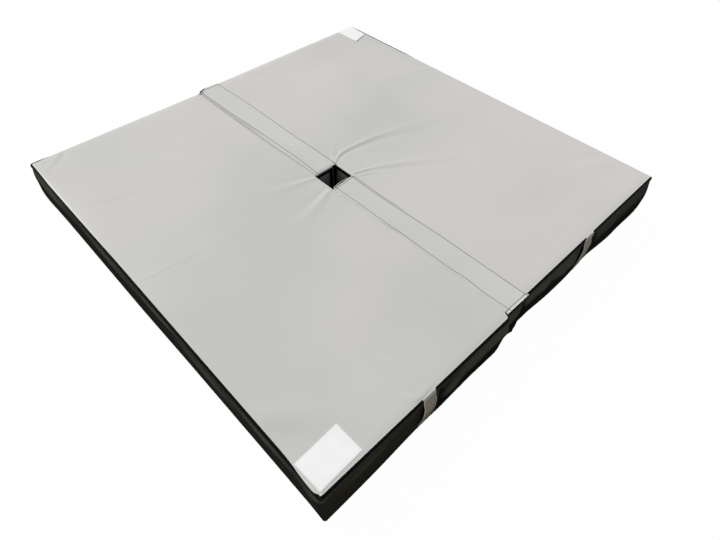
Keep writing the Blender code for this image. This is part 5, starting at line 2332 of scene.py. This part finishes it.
    def add_strip(self, kind: str, finish: Finish, low: Array, body: str,
                  node: str) -> None:
        """A fastener strip of one thickness over its underside.

        Args:
            kind: The kind's name in the piece's name.
            finish: Its finish.
            low: Grid of points of its underside.
            body: Body that carries it.
            node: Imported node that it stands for.
        """
        made = close_sheet(low + UP * self.strip, low, uv=(low[..., 0], low[..., 1]), swell=0.2)
        add_piece(f"{self.name}_{kind}_strip", made, finish, body, node)


FRONT_FLAP = Flap(
    "front", -1, (-0.0705, -0.0880),
    free_edge=((-1.21, -0.1265), (-1.07, -0.1285), (-0.955, -0.1200), (-0.85, -0.1245),
               (-0.70, -0.1230), (-0.56, -0.1190), (-0.42, -0.1315), (-0.31, -0.1310),
               (-0.10, -0.1345)),
    sewn_edge=((-1.207, 0.0310), (-1.192, 0.0225), (-0.60, 0.0215), (-0.46, 0.0245),
               (-0.30, 0.0205), (-0.20, 0.0215), (-0.07, 0.0225)),
    stitch_edge=((-1.21, 0.0200), (-0.66, 0.0190), (-0.60, 0.0170), (-0.47, 0.0110),
                 (-0.29, 0.0055), (-0.08, 0.0090)),
    hem=((-1.21, 0.0220), (-0.95, 0.0145), (-0.69, 0.0110), (-0.55, 0.0080), (-0.41, 0.0150),
         (-0.09, 0.0160)),
    proud=((-1.21, 0.0004), (-0.95, 0.0004), (-0.60, 0.0006), (-0.40, 0.0020),
           (-0.09, 0.0014)),
    droop=1.0)
BACK_FLAP = Flap(
    "back", 1, (0.0675, 0.0640),
    free_edge=((0.07, -0.1250), (0.26, -0.1310), (0.45, -0.1390), (0.63, -0.1425),
               (0.85, -0.1450), (1.21, -0.1430)),
    sewn_edge=((0.06, 0.0225), (0.10, 0.0225), (0.20, 0.0205), (0.50, 0.0165),
               (0.875, 0.0190), (1.21, 0.0080)),
    stitch_edge=((0.07, 0.0165), (0.20, 0.0180), (0.50, 0.0140), (0.875, 0.0165),
                 (1.21, 0.0050)),
    hem=((0.07, 0.0105), (0.22, 0.0165), (0.49, 0.0205), (0.67, 0.0215), (0.88, 0.0145),
         (1.21, 0.0125)),
    proud=((0.07, 0.0010), (0.22, 0.0050), (0.45, 0.0085), (0.67, 0.0070), (0.88, 0.0040),
           (1.21, 0.0006)),
    droop=0.30, leaf_end=(0.0130, 0.0340), strip_end=(0.0040, 0.0240))


# Patches and zips

NEAR_PATCH = ((-1.2025, -1.2070), (-0.9970, -1.2005), (-0.9980, -1.0620), (-1.2065, -1.0700))
FAR_PATCH = ((1.0780, 1.0112), (1.2024, 1.0466), (1.2130, 1.2168), (1.0721, 1.2160))


@dataclass
class CornerPatch:
    """A blank white patch sewn on the cover near a corner.

    Its four corners are world places, anticlockwise from the low end of X and Y.
    """

    name: str
    plan: HalfPlan
    relief: TopRelief
    corners: Knots
    painted_edge_shadow: float = 0.0
    thick: float = 0.0006
    corner: float = 0.0035

    def build(self) -> None:
        """Make the patch, a sheet that follows the cover and its rim, with round corners.

        It is laid out as a rectangle first. Inside a corner's square, points move onto rings
        round its centre, as the cover's own corners do. The rectangle is then stretched to the
        four corners, each point by its shares of both sides.
        """
        a, b, c, d = (np.array(corner) for corner in self.corners)
        size = np.array([np.linalg.norm(b - a), np.linalg.norm(d - a)])
        p, q = round_corners(
            *lattice(steps(0.0, size[0], 0.006), steps(0.0, size[1], 0.003)),
            ((0.0, 1.0, self.corner), (size[0], -1.0, self.corner)),
            ((0.0, 1.0), (size[1], -1.0)))
        side = np.minimum(np.minimum(p, size[0] - p), np.minimum(q, size[1] - q))
        i, j = (p / size[0])[..., None], (q / size[1])[..., None]
        place = (a * (1 - i) + b * i) * (1 - j) + (d * (1 - i) + c * i) * j
        s = self.plan.sizes
        u = np.abs(place[..., 0]) - s.seam_gap / 2
        v = place[..., 1] - self.plan.middle
        past = np.clip(np.abs(v) - (s.length / 2 - s.top_rim
                                    - self.plan.back_draw_at_side * (v > 0.0)), 0.0, s.top_rim)
        drop = s.top_rim - np.sqrt(s.top_rim ** 2 - past ** 2)
        z = self.relief.height(u, v) + s.fit - drop
        low = np.concatenate([place, z[..., None]], axis=-1)
        # Painted shadow along the side from the first corner to the second.
        painted_edge_shadow = self.painted_edge_shadow * fade(q, 0.0060, 0.0090)
        made = close_sheet(low + UP * self.thick, low, uv=(p, q),
                           marks={"side": side, "painted_edge_shadow": painted_edge_shadow})
        add_piece(self.name + "_cloth", made, Finish.PATCH, self.plan.body, self.name)


@dataclass
class WallZip:
    """The zip across a half's back wall: tape, toothed chain and metal parts."""

    plan: HalfPlan
    height: float = 0.1270
    tape_half: float = 0.0110
    end_inset: float = 0.0500
    tooth: float = 0.0026
    chain_width: float = 0.0060
    chain: float = 0.0024
    tooth_fill: float = 0.43
    tooth_span: float = 0.36
    tooth_shift: float = 0.13
    tooth_sink: float = 0.0002

    def build(self) -> None:
        """Make the tape and the chain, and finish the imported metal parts."""
        s, plan = self.plan.sizes, self.plan
        face = s.length / 2
        u, z = lattice(
            steps(s.seam_corner + s.fit, s.half_width - s.outer_corner - s.fit, 0.01),
            np.linspace(self.height - self.tape_half, self.height + self.tape_half, 9))
        low = plan.place(u, np.full_like(u, face - s.sheet), z)
        high = plan.place(u, np.full_like(u, face), z)
        made = close_sheet(high, low, uv=(u, z - z.min()), swell=0.0)
        add_piece(plan.name + "_zip_band", made, Finish.ZIP_TAPE, plan.body,
                  plan.name + "_zip_tape")
        self.build_chain(face)
        for node in ("zip_slider", "zip_pull", "zip_stop_closed", "zip_stop_open"):
            packed = bpy.data.objects[f"{plan.name}_{node}"]
            packed.data.materials.clear()
            packed.data.materials.append(Finish.ZIP_METAL.material)

    def build_chain(self, face: float) -> None:
        """The closed chain: a flat cord with teeth set over it from both sides in turn.

        A tooth is a lens-like block of three rings; it is copied along the chain as one array.

        Args:
            face: Distance of the back face from the half's mid-length.
        """
        s, plan = self.plan.sizes, self.plan
        start, end = self.end_inset, s.half_width - self.end_inset
        count = int((end - start) / self.tooth)
        ring = np.array([(-1.0, -1.0), (1.0, -1.0), (1.0, 1.0), (-1.0, 1.0)])
        levels = ((0.0, 1.0), (0.62, 1.0), (1.0, 0.55))
        block = np.array([(a * size * self.tooth_fill * self.tooth,
                           level * (self.chain - self.tooth_sink),
                           b * (0.5 + 0.5 * size) * self.chain_width * self.tooth_span)
                          for level, size in levels for a, b in ring])
        quads = [(3, 2, 1, 0), (8, 9, 10, 11)] + [
            (4 * k + i, 4 * k + (i + 1) % 4, 4 * k + 4 + (i + 1) % 4, 4 * k + 4 + i)
            for k in range(2) for i in range(4)]
        order = np.arange(count)
        places = np.zeros((count, 1, 3))
        places[:, 0, 0] = start + (order + 0.5) * (end - start) / count
        sway = self.chain_width * self.tooth_shift
        places[:, 0, 2] = self.height + np.where(order % 2, 1.0, -1.0) * sway
        teeth = block[None] + places
        points = plan.place(teeth[..., 0], face + s.fit + teeth[..., 1], teeth[..., 2])
        faces = np.array(quads)[None] + (order * len(block))[:, None, None]
        made = Sewn(points.reshape(-1, 3), faces.reshape(-1, 4).tolist())
        add_piece(plan.name + "_zip_teeth", made, Finish.ZIP_PLASTIC, plan.body,
                  plan.name + "_zip_chain", crease_angle=30.0)


# Studio


@dataclass(frozen=True)
class Studio:
    """Floor, lights and the camera at the photograph's place."""

    eye: Point = (-1.51039, -1.69302, 2.09594)
    right: Point = (0.72174, -0.69207, 0.01131)
    down: Point = (-0.52363, -0.55662, -0.64497)
    forward: Point = (0.45266, 0.45957, -0.76413)
    focal_pixels: float = 521.21
    frame_width: float = 720.0
    sensor: float = 36.0
    sky: float = 0.405
    key: float = 2.60
    key_spread: float = 24.0
    key_azimuth: float = 95.0
    key_height: float = 42.0
    floor_tone: float = 0.34
    shadow_tone: float = 0.92
    floor_glow: float = 0.985
    floor_reach: float = 14.0
    floor_gap: float = 0.0005

    def build(self) -> None:
        """Set up everything that isn't the mat."""
        self.build_camera()
        self.build_lights()
        self.build_floor()
        bpy.context.scene.view_settings.view_transform = "Standard"

    def build_camera(self) -> None:
        """The camera: its axes are the fitted view's right, up and backward directions."""
        data = bpy.data.cameras.new("camera")
        data.sensor_fit = "HORIZONTAL"
        data.sensor_width = self.sensor
        data.lens = self.focal_pixels * self.sensor / self.frame_width
        data.clip_start, data.clip_end = 0.01, 60.0
        camera = new_object("camera", data)
        right = np.array(self.right)
        back = -np.array(self.forward)
        up = np.cross(back, right)
        rows = np.eye(4)
        rows[:3, 0] = right / np.linalg.norm(right)
        rows[:3, 1] = up / np.linalg.norm(up)
        rows[:3, 2] = np.cross(rows[:3, 0], rows[:3, 1])
        rows[:3, 3] = self.eye
        camera.matrix_world = Matrix(rows.tolist())
        bpy.context.scene.camera = camera

    def build_lights(self) -> None:
        """A soft sky and a broad key light from beyond the far corner."""
        world = bpy.data.worlds.new("studio")
        bpy.context.scene.world = world
        world.use_nodes = True
        world.node_tree.nodes.clear()
        nodes = Nodes(world.node_tree)
        sky, white = (nodes.node("ShaderNodeBackground", {}, {"Color": WHITE, "Strength": level})
                      for level in (self.sky, 1.0))
        mix = nodes.node("ShaderNodeMixShader", {}, {0: nodes.seen(), 1: sky.outputs[0],
                                                     2: white.outputs[0]})
        nodes.node("ShaderNodeOutputWorld", {}, {0: mix.outputs[0]})
        lamp = bpy.data.lights.new("key", "SUN")
        lamp.energy = self.key
        lamp.angle = math.radians(self.key_spread)
        key = new_object("key", lamp)
        azimuth, height = math.radians(self.key_azimuth), math.radians(self.key_height)
        toward = np.array([math.cos(height) * math.cos(azimuth),
                           math.cos(height) * math.sin(azimuth), math.sin(height)])
        side = np.cross(UP, toward)
        side /= np.linalg.norm(side)
        rows = np.eye(4)
        rows[:3, 0] = side
        rows[:3, 1] = np.cross(toward, side)
        rows[:3, 2] = toward
        key.matrix_world = Matrix(rows.tolist())

    def build_floor(self) -> None:
        """A pale floor that keeps the mat's shadow, near white to the camera."""
        mesh = bpy.data.meshes.new("floor")
        reach = self.floor_reach
        mesh.from_pydata([(-reach, -reach, 0.0), (reach, -reach, 0.0), (reach, reach, 0.0),
                          (-reach, reach, 0.0)], [], [(0, 1, 2, 3)])
        floor = new_object("floor", mesh)
        floor.location.z = -self.floor_gap
        surface = Surface("studio_floor")
        seen = surface.seen()
        tone = surface.mix(seen, (self.floor_tone,) * 3, (self.shadow_tone,) * 3)
        diffuse = surface.node("ShaderNodeBsdfDiffuse", {},
                               {"Color": tone, "Roughness": surface.noise(3.0)})
        white = surface.node("ShaderNodeEmission", {}, {"Color": WHITE, "Strength": 1.0})
        mix = surface.node("ShaderNodeMixShader", {}, {0: seen * self.floor_glow,
                                                       1: diffuse.outputs[0],
                                                       2: white.outputs[0]})
        output = surface.tree.nodes["Material Output"]
        surface.tree.nodes.remove(surface.shader)
        surface.tree.links.new(mix.outputs[0], output.inputs["Surface"])
        mesh.materials.append(surface.material)


LEFT_FOLDS = (
    Fold(1.225, 0.185, 0.075, 0.030, 0.0080, 3.0),
    Fold(1.350, 0.180, 0.095, 0.034, 0.0110, 3.0),
    Fold(1.500, 0.172, 0.100, 0.034, 0.0105, -4.0),
    Fold(1.655, 0.140, 0.070, 0.030, 0.0100, -14.0),
    Fold(1.560, 0.045, 0.180, 0.020, 0.0035, 2.0),
    Fold(1.290, 0.040, 0.080, 0.022, 0.0040, -4.0),
    Fold(1.960, 0.120, 0.120, 0.030, 0.0040, 6.0),
    Fold(2.150, 0.170, 0.110, 0.020, 0.0035, -4.0),
    Fold(2.392, 0.212, 0.050, 0.016, 0.0095, -10.0),
    Fold(2.640, 0.205, 0.160, 0.012, 0.0038, -2.0),
    Fold(3.050, 0.170, 0.220, 0.024, 0.0040, 2.0),
    Fold(3.450, 0.208, 0.130, 0.012, 0.0045, -3.0),
    Fold(3.900, 0.185, 0.260, 0.022, 0.0040, 1.0),
    Fold(4.560, 0.175, 0.220, 0.034, 0.0075, 2.0),
)
RIGHT_FOLDS = (
    Fold(1.180, 0.185, 0.060, 0.024, 0.0060, 2.0),
    Fold(1.290, 0.185, 0.070, 0.034, 0.0120, -6.0),
    Fold(1.285, 0.060, 0.050, 0.030, 0.0050, 20.0),
    Fold(1.470, 0.165, 0.075, 0.045, 0.0150, 4.0),
    Fold(1.560, 0.150, 0.040, 0.040, 0.0090, 40.0),
    Fold(1.900, 0.150, 0.200, 0.050, 0.0070, 2.0),
    Fold(2.220, 0.150, 0.160, 0.045, 0.0060, -2.0),
    Fold(2.900, 0.180, 0.300, 0.020, 0.0040, 1.0),
    Fold(3.800, 0.100, 0.260, 0.030, 0.0045, -2.0),
)


def build_half(plan: HalfPlan, folds: tuple[Fold, ...]) -> TopRelief:
    """Build one half's covers, walls, straps and zip.

    Args:
        plan: The half.
        folds: Folds of its walls.

    Returns:
        The relief of its top, for what lies on it.
    """
    s = plan.sizes
    top = RuffledCloth(plan.name + "_top_ruffle", s.half_width, s.length, 0.022, 0.0006, 0.6,
                       0.0035)
    relief = TopRelief(plan, top)
    HalfCovers(plan, relief).build()
    whole = float(Perimeter(plan).starts[-1])
    wall = RuffledCloth(plan.name + "_wall_ruffle", whole, s.wall_top - s.wall_base, 0.011,
                        0.005, 2.2, 0.0120)
    back_wrap = (0.03, 0.14) if plan.side < 0 else (-0.10, 0.04)
    walls = Walls(plan, wall, folds, back_wrap=back_wrap,
                  outer_wrap=((0.0, 1.0), (0.55, 1.0), (0.72, 0.60), (0.90, 0.50), (0.97, 1.0))
                  if plan.side < 0 else ((0.0, 0.0), (0.72, 0.0), (0.79, 0.90), (1.0, 0.90)))
    walls.build()
    for end in (-1, 1):
        strap = CarryStrap(plan, end, walls.strap_u())
        if plan.side > 0:
            strap.drift = ((0.0, -0.0155), (0.5, -0.0280), (0.75, -0.0120), (1.0, 0.0040))
        strap.build()
    WallZip(plan).build()
    return relief


def main() -> None:
    """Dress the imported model, sub-assembly by sub-assembly."""
    logging.basicConfig(level=logging.INFO, format="%(name)s: %(message)s")
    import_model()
    left = build_half(LEFT, LEFT_FOLDS)
    right = build_half(RIGHT, RIGHT_FOLDS)
    for flap in (FRONT_FLAP, BACK_FLAP):
        flap.build()
    CornerPatch("near_patch", LEFT, left, NEAR_PATCH).build()
    CornerPatch("far_patch", RIGHT, right, FAR_PATCH, painted_edge_shadow=0.85).build()
    Studio().build()


if __name__ == "__main__":
    main()
